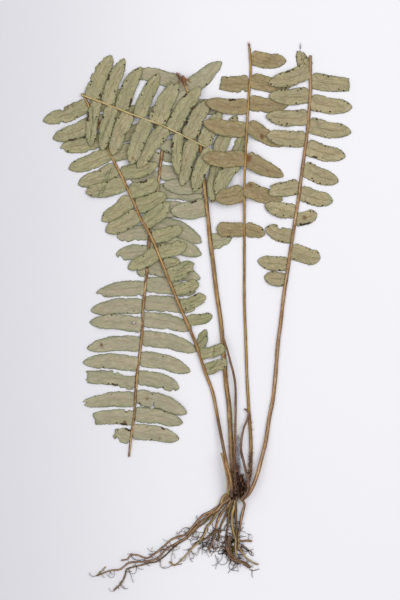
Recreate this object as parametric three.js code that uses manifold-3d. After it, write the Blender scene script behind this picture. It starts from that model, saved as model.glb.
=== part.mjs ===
// A dried and pressed fern plant, lying flat: a crown with its roots, four fronds and three broken stalks.
//
// Millimetres, +Z up. The origin is the flat underside of the crown, and the fronds run towards +Y.
// Every stalk and leaflet is laid on what already lies beneath it, so that crossing fronds stay clear.

import * as THREE from 'three';
import { mergeVertices } from 'three/addons/utils/BufferGeometryUtils.js';
import Module from 'manifold-3d';

const wasm = await Module();
wasm.setup();

// ---------------------------------------------------------------------------------------------
// Driving dimensions
// ---------------------------------------------------------------------------------------------

const LAYER_GAP = 0.35; // air between one laid piece and the next
const BLADE_THICKNESS = 0.62;
const WAVE_RISE = 0.3; // most that a leaflet's edge ripples up
const CRENATION = 0.055; // depth of the edge scallops, as a share of the leaflet's half width
const LEAFLET_WIDTH = 11.6;
const LEAFLET_SWEEP = 18; // degrees that a leaflet curves towards the frond's tip
const ROOT_WIDTH_SHARE = 0.42; // a leaflet's width inside its rachis
const SHOULDER_LENGTH = 2; // from the rachis's middle to a leaflet's square shoulders
const SHOULDER_WIDTH_SHARE = 0.92;
const TIP_SHARE = 0.42; // share of a leaflet's length taken by its rounded tip
const TIP_END_WIDTH_SHARE = 0.16;
const TIP_CROWDING = 1.15; // stations draw together towards a leaflet's tip
const TORN_TAPER = 0.35; // width that a torn leaflet loses by its end
const STATION_LENGTH = 4; // about one scallop
const CLIMB_LIMIT = 0.45; // steepest slope of a leaflet over what lies beneath it
const DROOP_SLOPE = 0.22; // slope at which a leaflet sinks from its rachis
const STALK_CLIMB_LIMIT = 0.13; // steepest slope of a stipe or rachis
const STALK_STATION_LENGTH = 13;
const STALK_FLATNESS = 0.68; // height of a pressed stalk over its width
const STALK_LIFT = 0.1; // a rachis's underside above the underside of its leaflets
const SOCKET_GAP = 0.32; // air round a stipe where it is seated in the crown
const PILE_CELL = 0.5;
const PILE_LOW = [-150, -20];
const PILE_SIZE = [270, 400];
const CURVE_DIVISIONS = 400;
const LEFT_KEY = 5000; // keeps the draws of the two sides, and of the two edges, apart
const RIGHT_EDGE_KEY = 71;

const LEFT = 1; // left of the way the stalk runs
const RIGHT = -1;

// ---------------------------------------------------------------------------------------------
// The fronds: each run has a route [x, y] from its base, its widths and its rows of leaflets
// ---------------------------------------------------------------------------------------------

// A row spreads `count` leaflets evenly between two distances along the run. Its lengths and leans
// (degrees from the rachis) are spread over the row too, and so are its widths. `odd` changes single
// leaflets of the row: their sweep, their place along the run, or their tip.

const foldedBackTip = {
  route: [
    [-42, 319], [-49, 293], [-55, 264], [-59, 233], [-65, 198], [-67, 171], [-70, 142], [-71, 122],
    [-73, 104], [-75, 88], [-76, 73], [-77, 58], [-79, 45], [-81, 27],
  ],
  widths: [3, 2.8, 2.4, 1.9],
  rows: [
    { side: LEFT, from: 118, to: 276, count: 12,
      lengths: [42, 42, 42, 39, 40, 39, 44, 41, 34, 42, 38, 37],
      leans: [77, 81, 80, 87, 88, 81, 82, 82, 80, 75, 84, 89],
      odd: { 0: { sweep: 32, shift: -5.4 }, 1: { sweep: 28, shift: -4.2 }, 8: { sweep: 24 } } },
    { side: RIGHT, from: 122, to: 280, count: 12,
      lengths: [26, 25, 9, 38, 41, 41, 42, 43, 40, 41, 32, 15],
      leans: [73, 82, 95, 78, 80, 91, 78, 84, 92, 80, 81, 93],
      odd: {
        2: { torn: true }, 8: { torn: true }, 9: { torn: true }, 10: { torn: true }, 11: { torn: true },
      } },
    { side: LEFT, from: 59, to: 103, count: 4, lengths: [34, 35, 36, 33], leans: [84, 86, 91, 97] },
    { side: RIGHT, from: 64, to: 93, count: 3, lengths: [24, 20], leans: [84, 78] },
  ],
};

const middleStipe = {
  route: [
    [1, -1], [-1, 14], [-2, 32], [-3, 49], [-4, 67], [-6, 82], [-8, 106], [-10.2, 131], [-13.8, 156],
    [-16, 175], [-18, 190], [-19.9, 210], [-21.8, 226], [-23.5, 242], [-26, 268], [-30, 293], [-39, 317],
  ],
  widths: [4.1, 3.9, 3.7, 3.4, 2.9],
  seat: 4.5,
  rows: [
    { side: LEFT, from: 222, to: 239, count: 2, lengths: [28, 32], leans: [90, 84], widths: [13.2, 12] },
    { side: LEFT, from: 270, to: 302, count: 3, lengths: [32, 37], leans: [84, 80] },
    { side: LEFT, from: 309, to: 309, count: 1, lengths: [26], leans: [84] },
    { side: LEFT, from: 310, to: 310, count: 1, lengths: [50], leans: [50], odd: { 0: { sweep: -62 } } },
    { side: RIGHT, from: 195, to: 195, count: 1, lengths: [17], leans: [83], widths: [12] },
    { side: RIGHT, from: 300, to: 300, count: 1, lengths: [37], leans: [103] },
    { side: RIGHT, from: 312.5, to: 312.5, count: 1, lengths: [35], leans: [70.6], widths: [12.4],
      odd: { 0: { sweep: 0 } } },
  ],
};

const leftStipe = {
  route: [
    [-2, -3], [-2.4, 6], [-6, 23], [-11.3, 50], [-16.6, 77], [-22.5, 93], [-29, 113], [-40, 139],
    [-52, 168], [-63, 195], [-72, 211], [-78, 225], [-86, 242], [-97, 264], [-107, 287], [-116, 306],
  ],
  widths: [3, 2.7, 2.4, 2.2],
  seat: 6.4,
  rows: [
    { side: RIGHT, from: 101, to: 267, count: 13,
      lengths: [19, 21.2, 16.5, 20.8, 21.5, 20.5, 14, 23, 25, 26, 25.5, 24, 30],
      leans: [85, 91, 42, 102, 91, 94, 106, 96, 97, 79, 89, 95, 102],
      widths: [9, 8.8, 7.5, 8.4, 9.6, 8.9, 9.6, 10.6, 10, 11.8, 12.4, 11.6, 11.6],
      odd: {
        0: { shift: -1.5 }, 1: { shift: -2.8 }, 2: { shift: -12 }, 3: { shift: -2.5 }, 4: { shift: -3.9 },
        5: { shift: -5.4 }, 6: { shift: 3.5 }, 7: { shift: -0.8 }, 8: { shift: -2.6 }, 9: { shift: -4.3 },
        10: { shift: -3.4 }, 11: { shift: -4.5 }, 12: { shift: -2.5 },
      } },
    { side: RIGHT, from: 281, to: 321, count: 4, lengths: [34, 38], leans: [98, 92] },
    { side: LEFT, from: 230, to: 322, count: 8, lengths: [29, 29, 31, 33, 34, 34, 36, 37],
      leans: [93, 101, 77, 85, 85, 79, 87, 84], odd: { 7: { shift: 1.5 } } },
    { side: RIGHT, from: 177, to: 177, count: 1, lengths: [23], leans: [86] },
    { side: LEFT, from: 197.5, to: 197.5, count: 1, lengths: [26.5], leans: [97], widths: [10.8] },
  ],
};

const foldedOverTip = {
  route: [
    [-117, 306], [-103, 301], [-88, 295], [-73, 289], [-57, 283], [-42, 276], [-26, 268], [-14, 262],
    [2, 255.5],
  ],
  widths: [2.1, 1.9, 1.6, 0.9],
  rows: [
    { side: LEFT, from: 7, to: 111, count: 9, lengths: [37, 38, 37, 37, 38, 40, 34, 30, 33],
      leans: [84, 91, 87, 87, 84, 82, 89, 90, 87],
      widths: [12, 10.4, 11.2, 10.6, 13.4, 11.8, 11.8, 11.4, 10.4],
      odd: {
        2: { shift: -0.8, sweep: 32 }, 3: { shift: 0.8 }, 4: { shift: 1.6, sweep: 10, torn: true },
        5: { shift: 2 }, 6: { shift: 3 }, 7: { shift: 3 }, 8: { shift: 3 },
      } },
    { side: LEFT, from: 129, to: 129, count: 1, lengths: [23], leans: [94], widths: [9] },
    { side: RIGHT, from: 12, to: 129, count: 10, lengths: [36, 35, 35, 37, 38, 32, 36, 35, 38, 31],
      leans: [78, 81, 89, 91, 100, 65, 77, 85, 77, 99],
      widths: [9, 10, 11.6, 11.6, 11.6, 8, 11.2, 11, 10.5, 11],
      odd: { 3: { shift: 3 }, 4: { shift: 5 }, 5: { shift: 3 }, 6: { shift: 2.5 }, 7: { shift: 4.5 } } },
  ],
};

const straightStipe = {
  route: [
    [8, 0], [12, 13], [13, 37], [12, 56], [11, 71], [10, 89], [9, 119], [8, 148], [8, 177], [8, 201],
    [8, 225], [8, 241], [9, 264], [10, 282], [11, 298], [12, 313], [13, 326], [12, 343],
  ],
  widths: [3, 2.4, 2.2, 2.1],
  seat: 3.6,
  rows: [
    { side: RIGHT, from: 205, to: 205, count: 1, lengths: [17], leans: [108], widths: [11] },
    { side: RIGHT, from: 235, to: 259, count: 2, lengths: [31, 33], leans: [106, 113], widths: [12] },
    { side: RIGHT, from: 284, to: 336, count: 4, lengths: [34, 31, 32, 28], leans: [113, 89, 92, 99] },
    { side: LEFT, from: 203, to: 203, count: 1, lengths: [21.5], leans: [86], widths: [11.2] },
    { side: LEFT, from: 232, to: 258, count: 2, lengths: [23, 33], leans: [103, 92], widths: [13, 12] },
    { side: LEFT, from: 280, to: 316, count: 3, lengths: [34, 33, 23.5], leans: [84, 88, 93],
      widths: [12, 12, 12.6], odd: { 2: { torn: true } } },
  ],
};

const rightStipe = {
  route: [
    [5, -6], [11.5, 0], [16.8, 11], [21, 25.5], [24.5, 39.5], [27, 56], [30, 71], [32, 90], [34, 115],
    [36, 130], [38, 148], [42, 175], [44, 189], [46, 202], [50, 228], [52, 244], [55, 265], [57, 282],
    [58, 294], [59, 306], [59, 321], [59, 337],
  ],
  widths: [3.5, 3.3, 3, 2.8, 2.6],
  seat: 5,
  rows: [
    { side: LEFT, from: 340, to: 340, count: 1, lengths: [17.5], leans: [24], widths: [10],
      odd: { 0: { sweep: 70, torn: true } } },
    { side: RIGHT, from: 199, to: 199, count: 1, lengths: [24], leans: [97], widths: [12.4] },
    { side: RIGHT, from: 222, to: 222, count: 1, lengths: [18], leans: [62], widths: [10.5] },
    { side: RIGHT, from: 245, to: 332, count: 6, lengths: [27, 30, 32, 34, 33, 31.5],
      leans: [98, 103, 96, 95, 92, 97], widths: [12.2], odd: { 1: { shift: 1.2 }, 5: { torn: true } } },
    { side: LEFT, from: 176, to: 188, count: 2, lengths: [17, 24], leans: [90, 91], widths: [11] },
    { side: LEFT, from: 209, to: 249, count: 3, lengths: [22, 25, 25.5], leans: [79, 87, 104] },
    { side: LEFT, from: 285.6, to: 336.8, count: 4, lengths: [31, 33, 32, 34], leans: [91, 93, 93, 108],
      widths: [12], odd: { 3: { shift: 2.4 } } },
  ],
};

// Stalks that have lost their leaflets, and the young crozier that has none yet.
const deadStalk = {
  route: [
    [1, 2], [0.5, 32], [1, 52], [1.2, 67], [1, 82], [-0.4, 91], [-3, 101], [-6, 112], [-9, 121],
  ],
  widths: [2.3, 2.1, 2, 1.8],
  seat: 7,
  rows: [],
};

const crozierStalk = {
  route: [
    [6, -4], [10, 0.5], [11, 5], [10.3, 12], [8.7, 17.5], [7, 25], [5.3, 32.5], [6, 43], [8, 51],
    [11, 58], [11, 62], [8, 64],
  ],
  widths: [2.6, 2.4, 2, 1.5],
  seat: 6,
  rows: [],
};

const cutStalk = {
  route: [[-5, 0], [-5, 9], [-7, 20], [-10, 31]],
  widths: [2.2, 2, 1.7],
  seat: 6.6,
  rows: [],
};

// ---------------------------------------------------------------------------------------------
// Roots: routes [x, y] from the crown, with their widths from start to end
// ---------------------------------------------------------------------------------------------

const ROOT_STATION_LENGTH = 10;
const ROOT_SIDES = 5;
const ROOT_START_HEIGHT = 4.2;
const ROOT_DROP_LENGTH = 24; // a root sinks to the surface over this length
const ROOT_WOBBLE = 0.08; // a root's width varies by this share either way
const CROWN_REACH = 8; // a root whose route starts this close to the origin grows from the crown

const ROOTS = [
  { route: [
    [-3, 0], [-8, -4], [-11, -10], [-13, -15], [-20, -27], [-26, -37], [-34, -45], [-42, -54],
    [-46, -57], [-50, -54],
  ], widths: [2.3, 2, 1.6, 1.3, 1.2] },
  { route: [
    [-3, -1], [-8, -6], [-12, -11], [-18, -15], [-25, -19], [-33, -28], [-38, -33], [-48, -37],
    [-58, -45], [-66, -51], [-75, -49], [-80, -49], [-82, -52], [-87, -53],
  ], widths: [2.2, 1.9, 1.4, 1.2] },
  { route: [
    [-3, -4], [-9, -9], [-15, -15], [-23, -21], [-30, -28], [-36, -34], [-45, -40], [-51, -43],
    [-59, -51], [-71, -54], [-81, -55], [-88, -60], [-95, -61], [-106, -65],
  ], widths: [2.4, 2, 1.5, 1.4, 1.1] },
  { route: [
    [-4, -6], [-16, -18], [-27, -27], [-36, -35], [-45, -42], [-53, -49], [-60, -54], [-66, -55],
    [-77, -58], [-83, -60], [-84, -64], [-87, -70], [-93, -76],
  ], widths: [1.8, 1.4, 1.2, 1.2, 1.3] },
  { route: [[-2, -1], [-3, -8], [-8, -14], [-13, -24], [-15, -35], [-17, -40], [-20, -45]],
    widths: [2.8, 2.4, 1.6, 1.1] },
  { route: [[-2, -3], [-5, -14], [-10, -26], [-12, -38]], widths: [2.4, 1.8, 1.2] },
  { route: [[0, -3], [-4, -17], [-5, -26], [-6, -37]], widths: [2.4, 1.8, 1.3] },
  { route: [[2.6, 1], [0.6, -9], [-1.4, -17], [-1, -26], [0.6, -34], [1.3, -42], [2, -49]],
    widths: [3.4, 2.9, 2.3, 1.9, 1.7] },
  { route: [[2, -3], [1.4, -13], [1, -20], [2.4, -31], [2, -38]], widths: [2.6, 2.2, 2.2, 1.8] },
  { route: [[4, -4], [7, -7], [8, -10], [7, -15], [5, -22], [4, -30], [3, -42]],
    widths: [2.2, 2.3, 1.9, 1.5] },
  { route: [[3, -38], [8, -38], [14, -38]], widths: [1.7, 1.8] },
  { route: [[-3, -34], [-5, -42], [-3, -48], [0, -51], [8, -55], [13, -58]],
    widths: [2.6, 4.4, 4.2, 3, 2.3] },
  { route: [[3, -42], [5, -45], [8, -50], [14, -54], [19, -56]], widths: [1.8, 1.4] },
  { route: [[-12, -30], [-20, -35], [-30, -40]], widths: [1.7, 1.3, 1.1] },
];

// The crown is a heap of scaly lumps: centre and half sizes.
const CROWN_LUMPS = [
  { centre: [3, 5, 3.5], radii: [6.6, 9.6, 5.2] },
  { centre: [-0.6, -2, 3.3], radii: [5, 5.6, 4.5] },
  { centre: [6.6, 1, 3.5], radii: [5, 6.4, 4.3] },
  { centre: [3, 12.5, 2.8], radii: [5, 6.6, 4] },
];
const CROWN_SEGMENTS = [9, 6];
const CROWN_ROUGHNESS = 0.09;
const ABOVE_GROUND = [300, 300, 60]; // room that holds the crown and every root
const SOCKET_STATIONS = 4; // length of a stalk that can lie in its socket

// ---------------------------------------------------------------------------------------------
// Small helpers
// ---------------------------------------------------------------------------------------------

// A repeatable draw between 0 and 1 for a whole-number key.
function draw(key) {
  const value = Math.sin(key * 12.9898 + 4.137) * 43758.5453;
  return value - Math.floor(value);
}

// The value at `share` (0 to 1) of a short list of values that is spread evenly over that range.
function spread(values, share) {
  const place = share * (values.length - 1);
  const index = Math.min(Math.floor(place), values.length - 1);
  const next = Math.min(index + 1, values.length - 1);
  return THREE.MathUtils.lerp(values[index], values[next], place - index);
}

function solidOf(geometry) {
  const bare = geometry.clone();
  bare.deleteAttribute('normal');
  bare.deleteAttribute('uv');
  const merged = mergeVertices(bare);
  return new wasm.Manifold(
    new wasm.Mesh({
      numProp: 3,
      vertProperties: merged.attributes.position.array,
      triVerts: Uint32Array.from(merged.index.array),
    }),
  );
}

function geometryOf(solid) {
  const mesh = solid.getMesh();
  const geometry = new THREE.BufferGeometry();
  geometry.setAttribute('position', new THREE.BufferAttribute(mesh.vertProperties, 3));
  geometry.setIndex(new THREE.BufferAttribute(mesh.triVerts, 1));
  geometry.computeVertexNormals();
  return geometry;
}

function solidFromArrays(points, triangles) {
  const geometry = new THREE.BufferGeometry();
  geometry.setAttribute('position', new THREE.Float32BufferAttribute(points, 3));
  geometry.setIndex(triangles);
  return solidOf(geometry);
}

function meshOf(name, solid, colour, roughness) {
  const material = new THREE.MeshStandardMaterial({ color: colour, roughness, metalness: 0 });
  const mesh = new THREE.Mesh(geometryOf(solid), material);
  mesh.name = name;
  return mesh;
}

// ---------------------------------------------------------------------------------------------
// The pile: how high the laid pieces reach over each small cell of the surface
// ---------------------------------------------------------------------------------------------

class Pile {
  constructor(under = null) {
    this.low = new THREE.Vector2(...PILE_LOW);
    this.columns = Math.ceil(PILE_SIZE[0] / PILE_CELL);
    const cells = this.columns * Math.ceil(PILE_SIZE[1] / PILE_CELL);
    this.heights = under ? under.heights.slice() : new Float32Array(cells).fill(-LAYER_GAP);
  }

  // Calls visit(cell, share) for each cell under the strip from one point to the next.
  overStrip(start, end, halfWidth, visit) {
    const margin = PILE_CELL * 0.75;
    const along = end.clone().sub(start);
    const length = along.length();
    along.divideScalar(length);
    const reach = halfWidth + margin;
    const firstColumn = Math.floor((Math.min(start.x, end.x) - reach - this.low.x) / PILE_CELL);
    const lastColumn = Math.ceil((Math.max(start.x, end.x) + reach - this.low.x) / PILE_CELL);
    const firstRow = Math.floor((Math.min(start.y, end.y) - reach - this.low.y) / PILE_CELL);
    const lastRow = Math.ceil((Math.max(start.y, end.y) + reach - this.low.y) / PILE_CELL);
    for (let row = firstRow; row <= lastRow; row += 1) {
      for (let column = firstColumn; column <= lastColumn; column += 1) {
        const x = this.low.x + (column + 0.5) * PILE_CELL - start.x;
        const y = this.low.y + (row + 0.5) * PILE_CELL - start.y;
        const forward = x * along.x + y * along.y;
        const sideways = Math.abs(y * along.x - x * along.y);
        if (forward >= -margin && forward <= length + margin && sideways <= reach) {
          visit(row * this.columns + column, THREE.MathUtils.clamp(forward / length, 0, 1));
        }
      }
    }
  }

  topUnder(start, end, halfWidth) {
    let top = -LAYER_GAP;
    this.overStrip(start, end, halfWidth, (cell) => {
      top = Math.max(top, this.heights[cell]);
    });
    return top;
  }

  raise(start, end, halfWidth, startTop, endTop) {
    this.overStrip(start, end, halfWidth, (cell, share) => {
      this.heights[cell] = Math.max(this.heights[cell], THREE.MathUtils.lerp(startTop, endTop, share));
    });
  }
}

// Lifts a list of heights until no step is steeper than the limit.
function limitSlope(heights, places, limit) {
  for (let i = 1; i < heights.length; i += 1) {
    heights[i] = Math.max(heights[i], heights[i - 1] - limit * (places[i] - places[i - 1]));
  }
  for (let i = heights.length - 2; i >= 0; i -= 1) {
    heights[i] = Math.max(heights[i], heights[i + 1] - limit * (places[i + 1] - places[i]));
  }
}

// ---------------------------------------------------------------------------------------------
// Leaflets
// ---------------------------------------------------------------------------------------------

// A leaflet's half width at a station: a square base, straight scalloped sides and a rounded tip.
function leafletHalfWidth(leaflet, share, index) {
  const tipShare = Math.max(0, (share - (1 - TIP_SHARE)) / TIP_SHARE);
  const tip = leaflet.torn ? 1 - TORN_TAPER * tipShare : Math.sqrt(Math.max(0, 1 - tipShare * tipShare));
  const base = [ROOT_WIDTH_SHARE, SHOULDER_WIDTH_SHARE][index] ?? 1;
  const scallop = index < 2 || share === 1 ? 1 : 1 + CRENATION * (index % 2 === 0 ? 1 : -1);
  return 0.5 * leaflet.width * Math.max(TIP_END_WIDTH_SHARE, Math.min(base, tip)) * scallop;
}

// Works out the stations of one leaflet: where its centre line runs, and how wide it is there.
function makeLeaflet(curve, runLength, row, index) {
  const share = row.count > 1 ? index / (row.count - 1) : 0;
  const odd = row.odd?.[index] ?? {};
  const place = Math.min(THREE.MathUtils.lerp(row.from, row.to, share) + (odd.shift ?? 0), runLength);
  const length = spread(row.lengths, share);
  const root = curve.getPointAt(place / runLength);
  const tangent = curve.getTangentAt(place / runLength);
  const sweep = THREE.MathUtils.degToRad(odd.sweep ?? LEAFLET_SWEEP);
  const lean = THREE.MathUtils.degToRad(spread(row.leans, share));
  const heading = Math.atan2(tangent.y, tangent.x);
  const leaflet = {
    place,
    width: spread(row.widths ?? [LEAFLET_WIDTH], share),
    torn: odd.torn ?? false,
    key: Math.round(place * 10) + (row.side === LEFT ? LEFT_KEY : 0),
    stations: [],
  };
  const steps = Math.max(4, Math.round(length / STATION_LENGTH));
  const shares = [0];
  for (let i = 0; i < steps; i += 1) {
    shares.push(1 - (1 - SHOULDER_LENGTH / length) * (1 - i / steps) ** TIP_CROWDING);
  }
  shares.push(1);
  const point = new THREE.Vector2(root.x, root.y);
  shares.forEach((stationShare, i) => {
    const reached = shares[Math.max(i - 1, 0)];
    const direction = heading + row.side * (lean + sweep * (0.5 - (stationShare + reached) / 2));
    point.x += (stationShare - reached) * length * Math.cos(direction);
    point.y += (stationShare - reached) * length * Math.sin(direction);
    leaflet.stations.push({
      point: point.clone(),
      place: stationShare * length,
      halfWidth: leafletHalfWidth(leaflet, stationShare, i),
    });
  });
  return leaflet;
}

// The height that each station of a leaflet needs to clear what lies beneath it.
function clearHeights(leaflet, pile) {
  const { stations } = leaflet;
  const heights = stations.map(() => 0);
  for (let i = 1; i < stations.length; i += 1) {
    const halfWidth = Math.max(stations[i - 1].halfWidth, stations[i].halfWidth);
    const need = pile.topUnder(stations[i - 1].point, stations[i].point, halfWidth) + LAYER_GAP;
    heights[i - 1] = Math.max(heights[i - 1], need);
    heights[i] = Math.max(heights[i], need);
  }
  limitSlope(heights, stations.map((station) => station.place), CLIMB_LIMIT);
  return heights;
}

// Sets a leaflet's heights once its rachis is placed: it sinks from there to what it lies on.
function settleLeaflet(leaflet, rootHeight, pile) {
  const heights = clearHeights(leaflet, pile);
  leaflet.stations.forEach((station, i) => {
    station.height = i === 0 ? rootHeight : Math.max(heights[i], rootHeight - DROOP_SLOPE * station.place);
  });
}

function raiseByLeaflet(leaflet, pile) {
  const top = BLADE_THICKNESS + WAVE_RISE;
  for (let i = 1; i < leaflet.stations.length; i += 1) {
    const start = leaflet.stations[i - 1];
    const end = leaflet.stations[i];
    const halfWidth = Math.max(start.halfWidth, end.halfWidth);
    pile.raise(start.point, end.point, halfWidth, start.height + top, end.height + top);
  }
}

// A thin closed blade. Both faces are split into the same triangles, so that they never cross.
function leafletSolid(leaflet) {
  const points = [];
  const triangles = [];
  const { stations } = leaflet;
  stations.forEach((station, i) => {
    const before = stations[Math.max(i - 1, 0)].point;
    const after = stations[Math.min(i + 1, stations.length - 1)].point;
    const across = after.clone().sub(before).normalize();
    for (const lift of [BLADE_THICKNESS, 0]) {
      for (const side of [LEFT, RIGHT]) {
        const reach = side * station.halfWidth;
        const wave = WAVE_RISE * draw(leaflet.key + i + (side === LEFT ? 0 : RIGHT_EDGE_KEY));
        points.push(station.point.x - across.y * reach, station.point.y + across.x * reach);
        points.push(station.height + wave + lift);
      }
    }
  });
  // Each station has four corners: top left, top right, bottom left and bottom right.
  const last = stations.length - 1;
  for (let i = 0; i < last; i += 1) {
    const [topLeft, topRight, lowLeft, lowRight] = [4 * i, 4 * i + 1, 4 * i + 2, 4 * i + 3];
    triangles.push(topRight, topRight + 4, topLeft, topRight + 4, topLeft + 4, topLeft);
    triangles.push(lowRight, lowLeft, lowRight + 4, lowRight + 4, lowLeft, lowLeft + 4);
    triangles.push(topLeft, topLeft + 4, lowLeft + 4, topLeft, lowLeft + 4, lowLeft);
    triangles.push(topRight, lowRight + 4, topRight + 4, topRight, lowRight, lowRight + 4);
  }
  const end = 4 * last;
  triangles.push(0, 2, 3, 0, 3, 1, end, end + 3, end + 2, end, end + 1, end + 3);
  return solidFromArrays(points, triangles);
}

// ---------------------------------------------------------------------------------------------
// Stalks
// ---------------------------------------------------------------------------------------------

const HEXAGON = [[1, 0], [0.5, 1], [-0.5, 1], [-1, 0], [-0.5, -1], [0.5, -1]];

// A tapering tube through stations that hold a point, a width, a height of section and a middle height.
function tubeSolid(stations, section) {
  const points = [];
  const triangles = [];
  const sides = section.length;
  stations.forEach((station, i) => {
    const before = stations[Math.max(i - 1, 0)].point;
    const after = stations[Math.min(i + 1, stations.length - 1)].point;
    const along = after.clone().sub(before).normalize();
    for (const [sideways, upward] of section) {
      const reach = (sideways * station.width) / 2;
      points.push(station.point.x + along.y * reach, station.point.y - along.x * reach);
      points.push(station.middle + (upward * station.depth) / 2);
    }
  });
  for (let i = 0; i < stations.length - 1; i += 1) {
    for (let k = 0; k < sides; k += 1) {
      const a = i * sides + k;
      const b = i * sides + ((k + 1) % sides);
      triangles.push(a, a + sides, b, b, a + sides, b + sides);
    }
  }
  const end = (stations.length - 1) * sides;
  for (let k = 1; k < sides - 1; k += 1) {
    triangles.push(0, k, k + 1, end, end + k + 1, end + k);
  }
  return solidFromArrays(points, triangles);
}

function curveThrough(route) {
  const points = route.map(([x, y]) => new THREE.Vector3(x, y, 0));
  const curve = new THREE.CatmullRomCurve3(points, false, 'centripetal');
  curve.arcLengthDivisions = CURVE_DIVISIONS;
  return curve;
}

// Lays one run, a stretch of stalk with its leaflets, on the pile, and adds it to the pile.
function layRun(run, pile) {
  const curve = curveThrough(run.route);
  const length = curve.getLength();
  const steps = Math.max(3, Math.round(length / STALK_STATION_LENGTH));
  const places = [];
  for (let i = 0; i <= steps; i += 1) {
    places.push((i / steps) * length);
  }
  const stations = places.map((place) => {
    const point = curve.getPointAt(place / length);
    const width = spread(run.widths, place / length);
    return { point: new THREE.Vector2(point.x, point.y), width, depth: width * STALK_FLATNESS };
  });
  const leaflets = run.rows.flatMap((row) =>
    Array.from({ length: row.count }, (_, index) => makeLeaflet(curve, length, row, index)),
  );

  const floors = places.map(() => 0);
  for (let i = 1; i <= steps; i += 1) {
    const halfWidth = Math.max(stations[i - 1].width, stations[i].width) / 2;
    const under = pile.topUnder(stations[i - 1].point, stations[i].point, halfWidth);
    const need = under + LAYER_GAP - STALK_LIFT;
    floors[i - 1] = Math.max(floors[i - 1], need);
    floors[i] = Math.max(floors[i], need);
  }
  for (const leaflet of leaflets) {
    const [need] = clearHeights(leaflet, pile);
    const index = Math.min(Math.floor((leaflet.place / length) * steps), steps - 1);
    floors[index] = Math.max(floors[index], need);
    floors[index + 1] = Math.max(floors[index + 1], need);
  }
  floors[0] = Math.max(floors[0], run.seat ?? 0);
  limitSlope(floors, places, STALK_CLIMB_LIMIT);
  stations.forEach((station, i) => {
    station.middle = floors[i] + STALK_LIFT + station.depth / 2;
  });

  // Every second leaflet is laid first, and its neighbours then overlap it.
  const withRun = new Pile(pile);
  const laidFirst = leaflets.filter((_, index) => index % 2 === 0);
  const laidLast = leaflets.filter((_, index) => index % 2 === 1);
  for (const group of [laidFirst, laidLast]) {
    for (const leaflet of group) {
      settleLeaflet(leaflet, spread(floors, leaflet.place / length), withRun);
    }
    for (const leaflet of group) {
      raiseByLeaflet(leaflet, withRun);
    }
  }
  pile.heights = withRun.heights;
  for (let i = 1; i <= steps; i += 1) {
    const start = stations[i - 1];
    const end = stations[i];
    const halfWidth = Math.max(start.width, end.width) / 2;
    const [startTop, endTop] = [start.middle + start.depth / 2, end.middle + end.depth / 2];
    pile.raise(start.point, end.point, halfWidth, startTop, endTop);
  }
  return { stations, leaflets };
}

function runSolids(laid) {
  return [tubeSolid(laid.stations, HEXAGON), ...laid.leaflets.map(leafletSolid)];
}

// The short bent stalk that joins two runs at a fold.
function foldSolid(lower, upper) {
  return tubeSolid([lower, upper], HEXAGON);
}

// The space that a seated stalk's base takes out of the crown, with air all round.
function socketSolid(laid) {
  const stations = laid.stations.slice(0, SOCKET_STATIONS).map((station) => ({
    ...station,
    width: station.width + 2 * SOCKET_GAP,
    depth: station.depth + 2 * SOCKET_GAP,
  }));
  const outward = stations[0].point.clone().sub(stations[1].point).setLength(SOCKET_GAP);
  stations[0].point = stations[0].point.clone().add(outward);
  return tubeSolid(stations, HEXAGON);
}

// ---------------------------------------------------------------------------------------------
// Crown and roots
// ---------------------------------------------------------------------------------------------

function rootSection() {
  return Array.from({ length: ROOT_SIDES }, (_, k) => {
    const angle = (2 * Math.PI * (k + 0.25)) / ROOT_SIDES;
    return [Math.cos(angle), Math.sin(angle)];
  });
}

function rootSolid(root, index) {
  const curve = curveThrough(root.route);
  const length = curve.getLength();
  const steps = Math.max(2, Math.round(length / ROOT_STATION_LENGTH));
  const startHeight = Math.hypot(...root.route[0]) < CROWN_REACH ? ROOT_START_HEIGHT : 0;
  const stations = [];
  for (let i = 0; i <= steps; i += 1) {
    const share = i / steps;
    const point = curve.getPointAt(share);
    const wobble = 1 + ROOT_WOBBLE * (2 * draw(31 * index + i) - 1);
    const width = spread(root.widths, share) * wobble;
    const height = startHeight * Math.max(0, 1 - (share * length) / ROOT_DROP_LENGTH);
    stations.push({
      point: new THREE.Vector2(point.x, point.y),
      width,
      depth: width,
      middle: Math.max(height, 0.5 * width),
    });
  }
  return tubeSolid(stations, rootSection());
}

function crownLumpSolid(lump, index) {
  const geometry = new THREE.SphereGeometry(1, ...CROWN_SEGMENTS);
  const position = geometry.attributes.position;
  const seen = new Map();
  for (let i = 0; i < position.count; i += 1) {
    const point = new THREE.Vector3().fromBufferAttribute(position, i);
    const name = point.toArray().map((value) => Math.round(value * 1000)).join();
    if (!seen.has(name)) {
      seen.set(name, 1 + CROWN_ROUGHNESS * (2 * draw(997 * index + seen.size) - 1));
    }
    point.multiplyScalar(seen.get(name));
    point.multiply(new THREE.Vector3(...lump.radii)).add(new THREE.Vector3(...lump.centre));
    position.setXYZ(i, point.x, point.y, point.z);
  }
  return solidOf(geometry);
}

function crownSolid(seated) {
  const lumps = CROWN_LUMPS.map(crownLumpSolid);
  const roots = ROOTS.map(rootSolid);
  const above = new THREE.BoxGeometry(...ABOVE_GROUND);
  above.translate(0, 0, ABOVE_GROUND[2] / 2);
  let solid = wasm.Manifold.union([...lumps, ...roots]).intersect(solidOf(above));
  for (const laid of seated) {
    solid = solid.subtract(socketSolid(laid));
  }
  const bodies = solid.decompose();
  return bodies.reduce((largest, body) => (body.volume() > largest.volume() ? body : largest));
}

// ---------------------------------------------------------------------------------------------
// The plant
// ---------------------------------------------------------------------------------------------

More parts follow.
